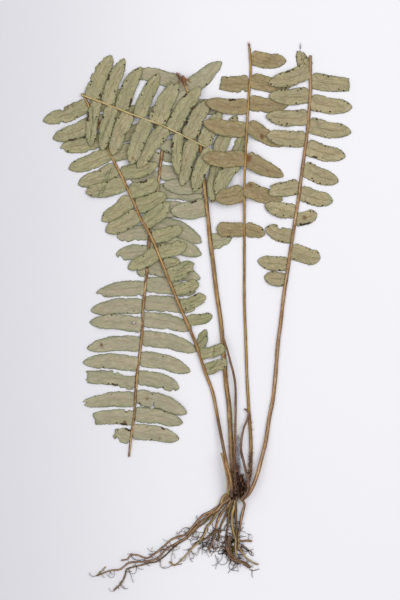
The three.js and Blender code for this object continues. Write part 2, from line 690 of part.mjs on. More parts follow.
const pile = new Pile();
const laidBackTip = layRun(foldedBackTip, pile);
const laidMiddle = layRun(middleStipe, pile);
const laidLeft = layRun(leftStipe, pile);
const laidOverTip = layRun(foldedOverTip, pile);
const laidStraight = layRun(straightStipe, pile);
const laidRight = layRun(rightStipe, pile);
const laidDead = layRun(deadStalk, pile);
const laidCrozier = layRun(crozierStalk, pile);
const laidCut = layRun(cutStalk, pile);

const middleFold = foldSolid(laidBackTip.stations[0], laidMiddle.stations.at(-1));
const leftFold = foldSolid(laidLeft.stations.at(-1), laidOverTip.stations[0]);

const FROND_GREEN = 0x8f9070;
const FROND_BROWN = 0x8f7d60;
const STALK_BROWN = 0x6e4e30;
const ROOT_BROWN = 0x6b5136;

function frondSolid(runs, folds = []) {
  return wasm.Manifold.union([...runs.flatMap(runSolids), ...folds]);
}

const seated = [laidMiddle, laidLeft, laidStraight, laidRight, laidDead, laidCrozier, laidCut];

const plant = new THREE.Group();
plant.add(
  meshOf('frond_left_folded', frondSolid([laidLeft, laidOverTip], [leftFold]), FROND_GREEN, 0.8),
  meshOf('frond_middle_folded', frondSolid([laidMiddle, laidBackTip], [middleFold]), FROND_GREEN, 0.8),
  meshOf('frond_straight', frondSolid([laidStraight]), FROND_BROWN, 0.8),
  meshOf('frond_right', frondSolid([laidRight]), FROND_GREEN, 0.8),
  meshOf('dead_stalk', frondSolid([laidDead]), STALK_BROWN, 0.85),
  meshOf('young_crozier', frondSolid([laidCrozier]), STALK_BROWN, 0.85),
  meshOf('cut_stalk', frondSolid([laidCut]), STALK_BROWN, 0.85),
  meshOf('crown_and_roots', crownSolid(seated), ROOT_BROWN, 0.9),
);

export default plant;
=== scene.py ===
"""The looks of a dried fern plant that lies pressed flat: its leaflets, stalks, crown and roots.

Shapes are worked out in millimetres, and become metres where a piece is made. Irregularities are drawn by
keys. A bare number that is added to a key, or multiplies a count in one, only sets a draw apart from others.
"""

import logging
import math
from dataclasses import dataclass, field
from enum import Enum
from typing import Any, Callable, Sequence

import bmesh
import bpy
import numpy as np
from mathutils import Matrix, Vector


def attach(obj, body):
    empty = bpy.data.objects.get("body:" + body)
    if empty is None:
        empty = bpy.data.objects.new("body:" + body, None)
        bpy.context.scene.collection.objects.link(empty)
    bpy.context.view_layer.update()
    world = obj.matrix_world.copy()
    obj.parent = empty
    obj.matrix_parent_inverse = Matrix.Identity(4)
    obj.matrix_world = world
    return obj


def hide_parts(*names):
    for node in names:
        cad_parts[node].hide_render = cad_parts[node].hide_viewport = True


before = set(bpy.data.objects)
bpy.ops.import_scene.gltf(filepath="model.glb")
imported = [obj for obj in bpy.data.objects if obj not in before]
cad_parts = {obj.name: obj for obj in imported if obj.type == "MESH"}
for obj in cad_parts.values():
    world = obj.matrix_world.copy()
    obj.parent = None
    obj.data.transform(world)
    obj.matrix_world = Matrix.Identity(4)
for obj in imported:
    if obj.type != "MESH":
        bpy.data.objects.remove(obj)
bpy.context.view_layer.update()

LOG = logging.getLogger("pressed_fern")
BODY = "root"
CROWN_NODE = "crown_and_roots"
MM = 0.001
TINY = 1e-9
TURN = 2 * math.pi
UPWARD = np.array([0.0, 0.0, 1.0])
Array = np.ndarray
Socket = bpy.types.NodeSocket
Material = bpy.types.Material
Colour = tuple[float, float, float]
Pair = tuple[float, float]
Triple = tuple[float, float, float]
Window = tuple[slice, slice]


class Side(Enum):
    """The side of a stalk, seen along the way that it runs."""

    LEFT = 1
    RIGHT = -1


class Tip(Enum):
    """How a leaflet ends."""

    ROUND = "round"
    TORN = "torn"
    CUT = "cut"


class Slot(Enum):
    """Material slots, which the pieces are handed but don't use."""

    GREEN = "frond_green"
    BROWN = "frond_brown"
    STALK = "stalk"
    ROOT = "root"


# ---------------------------------------------------------------------------
# Repeatable irregularity
# ---------------------------------------------------------------------------

DRAW_PITCH, DRAW_START, DRAW_STRETCH = 12.9898, 4.137, 43758.5453
CELL_KEY, ROW_KEY = 7.31, 31.7


def draw(key: Array | float) -> Array | float:
    """Returns a repeatable draw between 0 and 1 for each key."""
    value = np.sin(np.asarray(key, float) * DRAW_PITCH + DRAW_START) * DRAW_STRETCH
    return value - np.floor(value)


def drawn(span: Sequence[float], key: Array | float, power: int = 1) -> Array | float:
    """Returns a draw for each key within a span.

    Args:
        span: The least value, and how much more than that there is at most.
        key: Sets the draw apart from others.
        power: The higher it is, the more draws lie near the least value.
    """
    return span[0] + span[1] * draw(key) ** power


def spread(values: Sequence[float], share: Array | float) -> Array | float:
    """Returns the value at a share of a short list that is spread evenly from 0 to 1."""
    return np.interp(share, np.linspace(0, 1, len(values)), values) if len(values) > 1 else values[0]


def ease(value: Array) -> Array:
    """Returns values between 0 and 1 with soft ends."""
    held = np.clip(value, 0, 1)
    return held * held * (3 - 2 * held)


def ripple(places: Array, key: float, period: float) -> Array:
    """Returns smooth draws between -1 and 1 along a line.

    Args:
        places: Where along the line.
        key: Which line it is.
        period: The distance over which the value changes.
    """
    cell = np.floor(places / period)
    first, second = draw(key + CELL_KEY * cell), draw(key + CELL_KEY * (cell + 1))
    return 2 * (first + (second - first) * ease(places / period - cell)) - 1


def waves(places: Array, key: float, parts: Sequence[tuple[float, float, float]]) -> Array:
    """Returns a sum of ripples: each part is a height, a period and what it adds to the key."""
    return sum(height * ripple(places, key + own, period) for height, period, own in parts)


def patches(along: Array, across: Array, key: float, periods: Pair) -> Array:
    """Returns smooth draws between -1 and 1 over a surface.

    Args:
        along: Places along the surface.
        across: Places across it, of the same shape.
        key: Which surface it is.
        periods: The two distances over which the value changes.
    """
    row = np.floor(across / periods[1])
    first = ripple(along, key + ROW_KEY * row, periods[0])
    second = ripple(along, key + ROW_KEY * (row + 1), periods[0])
    return first + (second - first) * ease(across / periods[1] - row)


# ---------------------------------------------------------------------------
# Directions and lines
# ---------------------------------------------------------------------------


def unit(vectors: Array) -> Array:
    """Returns vectors with a length of one."""
    return vectors / (np.linalg.norm(vectors, axis=-1, keepdims=True) + TINY)


def to_left(ahead: Array) -> Array:
    """Returns the level direction to the left of each direction."""
    return np.stack([-ahead[..., 1], ahead[..., 0], 0 * ahead[..., 0]], axis=-1)


def compass(angles: Array) -> Array:
    """Returns the flat direction of each angle."""
    return np.stack([np.cos(angles), np.sin(angles)], axis=-1)


def circle(count: int, start: float = 0.0) -> Array:
    """Returns the angles of corners that are spread round a circle, from a share of the first step."""
    return TURN * (np.arange(count) + start) / count


def reached(points: Array) -> Array:
    """Returns how far along a line each of its points lies."""
    return np.concatenate([[0], np.cumsum(np.linalg.norm(np.diff(points, axis=0), axis=1))])


def follow(places: Array | float, known: Array, points: Array) -> Array:
    """Returns the points at places along a line whose points lie at known places."""
    return np.stack([np.interp(places, known, points[:, axis]) for axis in range(points.shape[1])], axis=-1)


def soften(values: Array, passes: int) -> Array:
    """Returns values along a line with their corners rounded."""
    for _ in range(passes):
        padded = np.concatenate([values[:1], values, values[-1:]])
        values = (padded[:-2] + 2 * padded[1:-1] + padded[2:]) / 4
    return values


# ---------------------------------------------------------------------------
# Nodes
# ---------------------------------------------------------------------------


def srgb(red: float, green: float, blue: float) -> tuple[float, float, float, float]:
    """Returns the linear colour of three display values from 0 to 255."""
    shares = [value / 255 for value in (red, green, blue)]
    linear = [s / 12.92 if s <= 0.04045 else ((s + 0.055) / 1.055) ** 2.4 for s in shares]
    return (*linear, 1.0)


class Pattern(Enum):
    """Noise patterns: how often each one repeats along, across and from piece to piece, and its detail."""

    CELLS = (2.6, 2.6, 1.0, 3.0)
    DUST = (0.42, 0.42, 1.0, 4.0)
    BROAD_PATCHES = (0.045, 0.11, 1.0, 3.0)
    MIDDLING_PATCHES = (0.22, 0.38, 1.0, 3.0)
    BLOTCHES = (0.2, 0.24, 3.0, 3.0)
    # Patches where the dark outline, partly the margin's own colour and partly painted shade, is strongest.
    DARK_MARGIN_AND_SHADE = (0.35, 0.35, 2.0, 2.0)
    WARP = (0.11, 0.11, 1.0, 2.0)
    LONG_LINES = (0.07, 0.26, 1.0, 2.0)
    SHORT_LINES = (0.3, 0.3, 2.0, 3.0)
    STREAKS = (0.09, 0.85, 1.0, 3.0)
    MIDRIB_WAVER = (0.2, 0.0, 1.0, 2.0)
    MIDRIB_REACH = (0.0, 0.0, 3.0, 0.0)
    FIBRES = (0.09, 1.3, 1.0, 3.0)
    BANDS = (0.06, 0.5, 1.0, 3.0)
    SCARS = (0.45, 0.8, 1.0, 3.0)
    PAPER_TOOTH = (900.0, 900.0, 1.0, 2.0)


class Graph:
    """Places and links the nodes of one material or node group.

    A fade is given as the lowest and highest value that it reads, and what it gives at each.
    """

    def __init__(self, tree: bpy.types.NodeTree) -> None:
        """Args:
            tree: The node tree that the nodes go into.
        """
        self.tree = tree

    def node(self, kind: str, inputs: dict[str | int, Any] | None = None,
             **settings: Any) -> bpy.types.Node:
        """Adds one node.

        Args:
            kind: The node's type name.
            inputs: A value or a linked socket for each named or numbered input.
            settings: The node's own properties.

        Returns:
            The node.
        """
        node = self.tree.nodes.new(kind)
        for name, value in settings.items():
            setattr(node, name, value)
        for name, value in (inputs or {}).items():
            if isinstance(value, Socket):
                self.tree.links.new(value, node.inputs[name])
            else:
                node.inputs[name].default_value = value
        return node

    def sum(self, operation: str, *values: Any, clamp: bool = False) -> Socket:
        """Returns the result of a Math node on up to three values or sockets."""
        return self.node("ShaderNodeMath", dict(enumerate(values)), operation=operation,
                         use_clamp=clamp).outputs[0]

    def times(self, first: Any, second: Any) -> Socket:
        """Returns one value times another."""
        return self.sum("MULTIPLY", first, second)

    def mix(self, factor: Any, first: Any, second: Any, blend: str = "MIX") -> Socket:
        """Returns a colour mixed from two others."""
        mixer = self.node("ShaderNodeMix", {0: factor, 6: first, 7: second}, data_type="RGBA",
                          blend_type=blend)
        return mixer.outputs[2]

    def fade(self, value: Any, low: Any, high: Any, at_low: Any = 0.0, at_high: Any = 1.0) -> Socket:
        """Returns a value that passes softly from at_low to at_high while another goes from low to high."""
        inputs = {"Value": value, "From Min": low, "From Max": high, "To Min": at_low, "To Max": at_high}
        return self.node("ShaderNodeMapRange", inputs, interpolation_type="SMOOTHSTEP").outputs[0]

    def noise(self, place: Any, pattern: Pattern) -> Socket:
        """Returns soft noise from 0 to 1 at a place."""
        *stretch, detail = pattern.value
        scaled = self.node("ShaderNodeVectorMath", {0: place, 1: stretch}, operation="MULTIPLY").outputs[0]
        inputs = {"Vector": scaled, "Scale": 1.0, "Detail": detail}
        return self.node("ShaderNodeTexNoise", inputs).outputs[0]

    def lines(self, noise: Any, width: float) -> Socket:
        """Returns a mask of thin lines where noise passes through its middle."""
        return self.fade(self.sum("ABSOLUTE", self.sum("SUBTRACT", noise, 0.5)), 0.0, width, 1.0, 0.0)

    def attribute(self, name: str, output: str = "Fac") -> Socket:
        """Returns one output of a named mesh attribute."""
        return self.node("ShaderNodeAttribute", attribute_name=name).outputs[output]


class Effect:
    """A shader node group that is built once and then placed in each material that needs it.

    Each takes the place of a point and some numbers, and puts out numbers that change over the surface.
    """

    def __init__(self, name: str, numbers: Sequence[str],
                 fill: Callable[[Graph, Any], dict[str, Any]]) -> None:
        """Builds the group.

        Args:
            name: The group's name.
            numbers: The names of the numbers that it takes.
            fill: Places the group's nodes, and returns a named socket for each output.
        """
        self.tree = bpy.data.node_groups.new(name, "ShaderNodeTree")
        self._socket("Place", "INPUT", "NodeSocketVector")
        for label in numbers:
            self._socket(label, "INPUT")
        graph = Graph(self.tree)
        results = fill(graph, graph.node("NodeGroupInput").outputs)
        for label in results:
            self._socket(label, "OUTPUT")
        graph.node("NodeGroupOutput", results)

    def _socket(self, label: str, way: str, kind: str = "NodeSocketFloat") -> None:
        """Adds a socket to the group."""
        self.tree.interface.new_socket(name=label, in_out=way, socket_type=kind)

    def put(self, graph: Graph, place: Socket, **numbers: Any) -> Any:
        """Places the group in a material, and returns its outputs."""
        return graph.node("ShaderNodeGroup", {"Place": place, **numbers}, node_tree=self.tree).outputs


def fill_grain(graph: Graph, given: Any) -> dict[str, Any]:
    """Fills the group for the fine cell pattern and dust of a dry surface."""
    dusty = (0.46, 0.72)
    return {
        "Height": graph.times(graph.noise(given["Place"], Pattern.CELLS), given["Depth"]),
        "Dust": graph.fade(graph.noise(given["Place"], Pattern.DUST), *dusty),
    }


def fill_mottle(graph: Graph, given: Any) -> dict[str, Any]:
    """Fills the group for the broad and middling patches of a surface that dried unevenly."""
    broad_share, parted, shading = 0.55, (0.34, 0.66), (0.3, 0.7, 0.86, 1.13)
    broad = graph.times(graph.noise(given["Place"], Pattern.BROAD_PATCHES), broad_share)
    middling = graph.times(graph.noise(given["Place"], Pattern.MIDDLING_PATCHES), 1 - broad_share)
    both = graph.sum("ADD", broad, middling)
    return {"Patch": graph.fade(both, *parted), "Shade": graph.fade(both, *shading)}


def fill_creases(graph: Graph, given: Any) -> dict[str, Any]:
    """Fills the group for the creases of a pressed blade, its veins and its midrib."""
    warp_reach, waver_reach = 9.0, 2.4
    long_width, short_width, short_share = 0.03, 0.022, 0.7
    vein_slant, vein_spacing = 0.6, 1.6
    rib_start, rib_reach, rib_gap, rib_end, rib_edge = 0.08, 0.6, 0.12, 0.9, (0.1, 0.55)
    streaking = (0.3, 0.7, 0.88, 1.1)
    depths = {"long": -0.2, "short": -0.12, "veins": 0.02, "midrib": -0.2, "streak": 0.3}
    place, share = given["Place"], given["Share"]
    parts = graph.node("ShaderNodeSeparateXYZ", {0: place}).outputs
    warp = graph.sum("SUBTRACT", graph.noise(place, Pattern.WARP), 0.5)
    bent = graph.node("ShaderNodeCombineXYZ", {
        0: parts["X"], 1: graph.sum("MULTIPLY_ADD", warp, warp_reach, parts["Y"]),
        2: parts["Z"]}).outputs[0]
    long_lines = graph.lines(graph.noise(bent, Pattern.LONG_LINES), long_width)
    short_lines = graph.times(graph.lines(graph.noise(bent, Pattern.SHORT_LINES), short_width), short_share)
    streak = graph.noise(bent, Pattern.STREAKS)
    slanting = graph.sum("SUBTRACT", parts["X"], graph.times(graph.sum("ABSOLUTE", parts["Y"]), vein_slant))
    veins = graph.sum("SINE", graph.times(slanting, TURN / vein_spacing))
    waver = graph.times(graph.sum("SUBTRACT", graph.noise(place, Pattern.MIDRIB_WAVER), 0.5), waver_reach)
    off_middle = graph.sum("ABSOLUTE", graph.sum("ADD", parts["Y"], waver))
    reach = graph.noise(place, Pattern.MIDRIB_REACH)
    shown = graph.times(graph.fade(share, rib_start, graph.times(reach, rib_reach)),
                        graph.fade(share, graph.sum("ADD", reach, rib_gap), rib_end, 1.0, 0.0))
    midrib = graph.times(graph.fade(off_middle, *rib_edge, 1.0, 0.0), shown)
    height = graph.times(long_lines, depths["long"])
    for label, part in (("short", short_lines), ("veins", veins), ("midrib", midrib), ("streak", streak)):
        height = graph.sum("ADD", height, graph.times(part, depths[label]))
    return {
        "Crease": graph.sum("MAXIMUM", long_lines, short_lines),
        "Streak": graph.fade(streak, *streaking),
        "Veins": graph.sum("MULTIPLY_ADD", veins, 0.5, 0.5),
        "Midrib": midrib,
        "Height": height,
    }


def fill_streaks(graph: Graph, given: Any) -> dict[str, Any]:
    """Fills the group for the fibres, bands and scars that run along a dry stalk or root."""
    fibre, band, scar = [graph.noise(given["Place"], pattern)
                         for pattern in (Pattern.FIBRES, Pattern.BANDS, Pattern.SCARS)]
    edges = {"Fibre": (fibre, 0.4, 0.6), "Band": (band, 0.38, 0.62),
             "Scar": (scar, 0.56, 0.68), "Flake": (scar, 0.44, 0.34)}
    masks = {label: graph.fade(*edge) for label, edge in edges.items()}
    return {**masks, "Height": graph.times(fibre, given["Depth"])}


class Effects:
    """The effects that several finishes share."""

    def __init__(self) -> None:
        """Builds each group once."""
        self.grain = Effect("dry_grain", ("Depth",), fill_grain)
        self.mottle = Effect("dry_mottle", (), fill_mottle)
        self.creases = Effect("pressed_creases", ("Share",), fill_creases)
        self.streaks = Effect("fibre_streaks", ("Depth",), fill_streaks)


# ---------------------------------------------------------------------------
# Finishes
# ---------------------------------------------------------------------------


class Surface(Graph):
    """The graph of one material, which is painted coat by coat."""

    def __init__(self, name: str, gloss: float) -> None:
        """Starts a material.

        Args:
            name: The material's name.
            gloss: The level of its plain gloss.
        """
        self.material = bpy.data.materials.new(name)
        self.material.use_nodes = True
        super().__init__(self.material.node_tree)
        self.shader = self.tree.nodes["Principled BSDF"]
        self.shader.inputs["Specular IOR Level"].default_value = gloss
        self.colour: Any = None

    def prime(self, factor: Any, first: Colour, second: Colour) -> None:
        """Starts the colour as a mix of two."""
        self.colour = self.mix(factor, srgb(*first), srgb(*second))

    def paint(self, colour: Colour, mask: Any, share: float | None = None) -> None:
        """Lays a colour over what is there where a mask says, or up to a share of it."""
        self.colour = self.mix(mask if share is None else self.times(mask, share), self.colour,
                               srgb(*colour))

    def shade(self, factor: Any) -> None:
        """Makes what is there darker or paler by a factor."""
        grey = self.node("ShaderNodeCombineColor", {0: factor, 1: factor, 2: factor}).outputs[0]
        self.colour = self.mix(1.0, self.colour, grey, "MULTIPLY")

    def finish(self, roughness: Any, height: Any, strength: float = 1.0) -> Material:
        """Links the colour, a roughness and a height in millimetres, and returns the material.

        Args:
            roughness: The socket of the roughness.
            height: The socket of the height.
            strength: How strongly the height shows.
        """
        bump = self.node("ShaderNodeBump", {"Height": height, "Strength": strength, "Distance": MM})
        for socket, label in ((self.colour, "Base Color"), (roughness, "Roughness"),
                              (bump.outputs[0], "Normal")):
            self.tree.links.new(socket, self.shader.inputs[label])
        return self.material


@dataclass(frozen=True)
class BladeFinish:
    """A pressed leaf blade: two body colours, a greener margin, brown blotches and pale creases, with
    painted shade along its crease lines and a dark outline that is partly the margin's own colour and partly
    painted shade.
    """

    name: str
    body: Colour
    second: Colour
    margin: Colour
    blotch: Colour
    midrib: Colour
    # The dark colour laid in the crease lines as painted shade, and in the outline.
    edge: Colour = (84, 76, 46)
    stain: Colour = (104, 72, 46)
    blotch_share: float = 0.35
    centre_share: float = 0.35
    midrib_share: float = 0.38
    # crease_share: how strongly painted shade darkens the crease lines.
    crease_share: float = 0.36
    relief: float = 1.0

    GLOSS = 0.32
    GRAIN_DEPTH = 0.035
    DUST, DUST_SHARE = (186, 181, 160), 0.25
    VEIN_SHARE = 0.06
    HEART_RIM = (0.6, 4.0, 0.0)
    HEART_PATCHES = (0.9, 0.25)
    MARGIN_RIM = (0.1, 2.4, 0.8, 0.0)
    MARGIN_PATCHES = (0.1, 0.9, 1.0, 0.3)
    BLOTCH_EDGE = (0.58, 0.72, 0.0)
    CREASE_PATCHES = (0.3, 0.9, 0.1)
    # Where the dark outline lies along the rim: partly the margin's own colour, partly painted shade at the
    # leaflet's edge.
    MARGIN_AND_SHADE_RIM = (0.1, 0.75, 1.0, 0.0)
    MARGIN_AND_SHADE_PATCHES = (0.32, 0.6, 0.35, 1.0)
    ROUGHNESS = (0.0, 1.0, 0.62, 0.78)

    def material(self, effects: Effects) -> Material:
        """Returns the blade's material, which reads the place, rim, tone, share and stain of each point."""
        surface = Surface(self.name, self.GLOSS)
        place, rim = surface.attribute("place", "Vector"), surface.attribute("rim")
        mottle = effects.mottle.put(surface, place)
        grain = effects.grain.put(surface, place, Depth=self.GRAIN_DEPTH)
        creases = effects.creases.put(surface, place, Share=surface.attribute("share"))
        patch = mottle["Patch"]
        surface.prime(surface.attribute("tone"), self.body, self.second)
        heart = surface.sum("MULTIPLY", surface.fade(rim, *self.HEART_RIM, self.centre_share),
                            surface.sum("MULTIPLY_ADD", patch, *self.HEART_PATCHES), clamp=True)
        surface.paint(self.blotch, heart)
        green = surface.fade(patch, *self.MARGIN_PATCHES)
        surface.paint(self.margin, surface.times(surface.fade(rim, *self.MARGIN_RIM), green))
        blotches = surface.noise(place, Pattern.BLOTCHES)
        surface.paint(self.blotch, surface.fade(blotches, *self.BLOTCH_EDGE, self.blotch_share))
        surface.paint(self.DUST, grain["Dust"], self.DUST_SHARE)
        surface.shade(mottle["Shade"])
        surface.shade(creases["Streak"])
        # Painted shade: the crease lines are darkened towards the edge colour, more in some patches.
        deep = surface.fade(patch, *self.CREASE_PATCHES, self.crease_share)
        surface.paint(self.edge, surface.times(creases["Crease"], deep))
        surface.paint(self.midrib, creases["Veins"], self.VEIN_SHARE)
        surface.paint(self.midrib, creases["Midrib"], self.midrib_share)
        surface.paint(self.stain, surface.attribute("stain"))
        # A dark outline along the rim: partly the margin's own darker colour, partly painted shade at the
        # leaflet's edge.
        dark_margin_and_shade = surface.fade(surface.noise(place, Pattern.DARK_MARGIN_AND_SHADE), *self.MARGIN_AND_SHADE_PATCHES)
        surface.paint(self.edge, surface.times(surface.fade(rim, *self.MARGIN_AND_SHADE_RIM), dark_margin_and_shade))
        height = surface.sum("ADD", grain["Height"], surface.times(creases["Height"], self.relief))
        return surface.finish(surface.fade(patch, *self.ROUGHNESS), height)


@dataclass(frozen=True)
class StalkFinish:
    """A dry stalk or root: dark, middle and pale fibres, scars, and painted shade that makes one flank
    darker than the other and both edges darker than the middle.
    """

    name: str
    dark: Colour
    middle: Colour
    pale: Colour
    # Painted shade: the colour of the darker flank, and how much of it is laid on.
    shaded_flank: Colour
    flank_shade_share: float = 0.35
    scar_share: float = 0.4
    # How strongly painted shade darkens both edges of the round stalk.
    side_shade_share: float = 0.8
    flake_share: float = 0.25
    base: Colour = (66, 44, 34)
    gloss: float = 0.3

    FIBRE_DEPTH, GRAIN_DEPTH = 0.22, 0.05
    DUST, DUST_SHARE = (196, 180, 150), 0.1
    BAND_WEIGHT, TONE_WEIGHT, BAND_SHARE = 0.6, 0.3, 0.6
    # Where the painted shade on both edges starts and ends, from the middle outward.
    SIDE_SHADE = (0.35, 0.95, 0.0)
    ROUGHNESS = (0.0, 1.0, 0.68, 0.46)

    def material(self, effects: Effects) -> Material:
        """Returns the stalk's material, which reads the place, rim, tone and stain of each point."""
        surface = Surface(self.name, self.gloss)
        place, rim = surface.attribute("place", "Vector"), surface.attribute("rim")
        streaks = effects.streaks.put(surface, place, Depth=self.FIBRE_DEPTH)
        grain = effects.grain.put(surface, place, Depth=self.GRAIN_DEPTH)
        surface.prime(streaks["Fibre"], self.middle, self.pale)
        toned = surface.times(surface.attribute("tone"), self.TONE_WEIGHT)
        banded = surface.sum("MULTIPLY_ADD", streaks["Band"], self.BAND_WEIGHT, toned, clamp=True)
        surface.paint(self.dark, banded, self.BAND_SHARE)
        # Painted shade: one flank darker than the other.
        surface.paint(self.shaded_flank, rim, self.flank_shade_share)
        # Painted shade: both edges of the round stalk darker than its middle.
        sides = surface.sum("ABSOLUTE", surface.sum("MULTIPLY_ADD", rim, 2.0, -1.0))
        surface.paint(self.dark, surface.fade(sides, *self.SIDE_SHADE, self.side_shade_share))
        surface.paint(self.dark, streaks["Scar"], self.scar_share)
        surface.paint(self.pale, streaks["Flake"], self.flake_share)
        surface.paint(self.DUST, grain["Dust"], self.DUST_SHARE)
        surface.paint(self.base, surface.attribute("stain"))
        height = surface.sum("ADD", grain["Height"], streaks["Height"])
        return surface.finish(surface.fade(streaks["Fibre"], *self.ROUGHNESS), height)


@dataclass(frozen=True)
class ChaffFinish:
    """Scales, hairs and frayed fibres: each has its own tone between two colours."""

    name: str
    dark: Colour
    pale: Colour
    gloss: float = 0.25

    FIBRE_DEPTH, GRAIN_DEPTH = 0.06, 0.03
    FIBRE_TONES = (0.0, 1.0, 0.55, 1.0)
    ROUGHNESS = (0.0, 1.0, 0.62, 0.45)

    def material(self, effects: Effects) -> Material:
        """Returns the material, which reads the place and tone of each point."""
        surface = Surface(self.name, self.gloss)
        place = surface.attribute("place", "Vector")
        streaks = effects.streaks.put(surface, place, Depth=self.FIBRE_DEPTH)
        grain = effects.grain.put(surface, place, Depth=self.GRAIN_DEPTH)
        lit = surface.fade(streaks["Fibre"], *self.FIBRE_TONES)
        surface.prime(surface.times(surface.attribute("tone"), lit), self.dark, self.pale)
        height = surface.sum("ADD", grain["Height"], streaks["Height"])
        return surface.finish(surface.fade(streaks["Fibre"], *self.ROUGHNESS), height)


# ---------------------------------------------------------------------------
# Meshes
# ---------------------------------------------------------------------------

SHARP_ANGLE = math.radians(50.0)
UPRIGHT = 1e-3


class Mesh:
    """Gathers closed shells, and turns them into one piece.

    Each corner has a rim, which is its distance from the margin, or on a tube its share across from one
    flank to the other, which places a stalk's painted shade. It has a tone and a stain from 0 to 1, and a
    share of its shell's own length.
    """

    CHANNELS = ("rim", "tone", "share", "stain")

    def __init__(self, name: str) -> None:
        """Args:
            name: The piece's name.
        """
        self.name = name
        self.count = 0
        self.parts: dict[str, list[Array]] = {
            label: [] for label in ("point", "quad", "triangle", "place", *self.CHANNELS)}

    def add(self, points: Array, quads: Array, triangles: Array, places: Array,
            **channels: Array | float) -> None:
        """Adds one shell.

        Args:
            points: Its corners in millimetres.
            quads: Four corners of each quad.
            triangles: Three corners of each triangle.
            places: Along, across and key of each corner, for the materials.
            channels: The rims, tones, shares and stains of the corners. One that isn't given is 0.
        """
        shell = {"point": points, "place": places,
                 "quad": np.asarray(quads, int).reshape(-1, 4) + self.count,
                 "triangle": np.asarray(triangles, int).reshape(-1, 3) + self.count}
        for label in self.CHANNELS:
            shell[label] = np.broadcast_to(np.asarray(channels.get(label, 0.0), float), len(points))
        for label, values in shell.items():
            self.parts[label].append(values)
        self.count += len(points)

    def piece(self, material: Material, slot: Slot, replaces: Sequence[str] = ()) -> None:
        """Makes the piece, dresses it and lets it ride on the plant.

        Args:
            material: What it is dressed in.
            slot: Not used.
            replaces: The CAD nodes that it stands for.
        """
        whole = {label: np.concatenate(parts) for label, parts in self.parts.items()}
        quads, triangles = whole["quad"], whole["triangle"]
        corners = np.concatenate([quads.ravel(), triangles.ravel()])
        starts = np.concatenate([np.arange(len(quads)) * 4, quads.size + np.arange(len(triangles)) * 3])
        mesh = bpy.data.meshes.new(self.name)
        mesh.vertices.add(self.count)
        mesh.vertices.foreach_set("co", (whole["point"] * MM).astype(np.float32).ravel())
        mesh.loops.add(len(corners))
        mesh.loops.foreach_set("vertex_index", corners.astype(np.int32))
        mesh.polygons.add(len(starts))
        mesh.polygons.foreach_set("loop_start", starts.astype(np.int32))
        mesh.update(calc_edges=True)
        self._store(mesh, "place", "FLOAT_VECTOR", "vector", whole["place"])
        for label in self.CHANNELS:
            self._store(mesh, label, "FLOAT", "value", whole[label])
        turned = bmesh.new()
        turned.from_mesh(mesh)
        bmesh.ops.recalc_face_normals(turned, faces=turned.faces)
        turned.to_mesh(mesh)
        turned.free()
        mesh.validate()
        mesh.shade_smooth()
        mesh.set_sharp_from_angle(angle=SHARP_ANGLE)
        mesh.materials.append(material)
        piece = bpy.data.objects.new(self.name, mesh)
        bpy.context.scene.collection.objects.link(piece)
        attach(piece, BODY)
        if replaces:
            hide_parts(*replaces)
        LOG.info("%s: %d vertices, %d faces", self.name, len(mesh.vertices), len(mesh.polygons))

    @staticmethod
    def _store(mesh: bpy.types.Mesh, name: str, kind: str, key: str, values: Array) -> None:
        """Stores one value of each vertex as a named attribute."""
        mesh.attributes.new(name, kind, "POINT").data.foreach_set(key, values.astype(np.float32).ravel())


def join_rings(rings: int, sides: int) -> tuple[Array, Array]:
    """Returns the quads between rings of corners, and the triangles that close the last ring and the first.

    The triangles meet in two more corners that come after the rings: the last ring's, then the first's.
    """
    index = np.arange(rings * sides).reshape(rings, sides)
    turned = np.roll(index, -1, axis=1)
    quads = np.stack([index[:-1], turned[:-1], turned[1:], index[1:]], axis=-1)
    last = np.stack([index[-1], turned[-1], np.full(sides, index.size)], axis=1)
    first = np.stack([turned[0], index[0], np.full(sides, index.size + 1)], axis=1)
    return quads, np.concatenate([last, first])


def round_section(sides: int, ridges: int = 0, depth: float = 0.0) -> Array:
    """Returns the section of a tube, from -1 to 1 both ways.

    Args:
        sides: How many corners it has.
        ridges: How many ridges run along the tube.
        depth: Their height as a share of the radius.
    """
    turn = 0.6
    angles = circle(sides, 0.5)
    return compass(angles) * (1 + depth * (np.cos(ridges * angles + turn) - 1))[:, None]


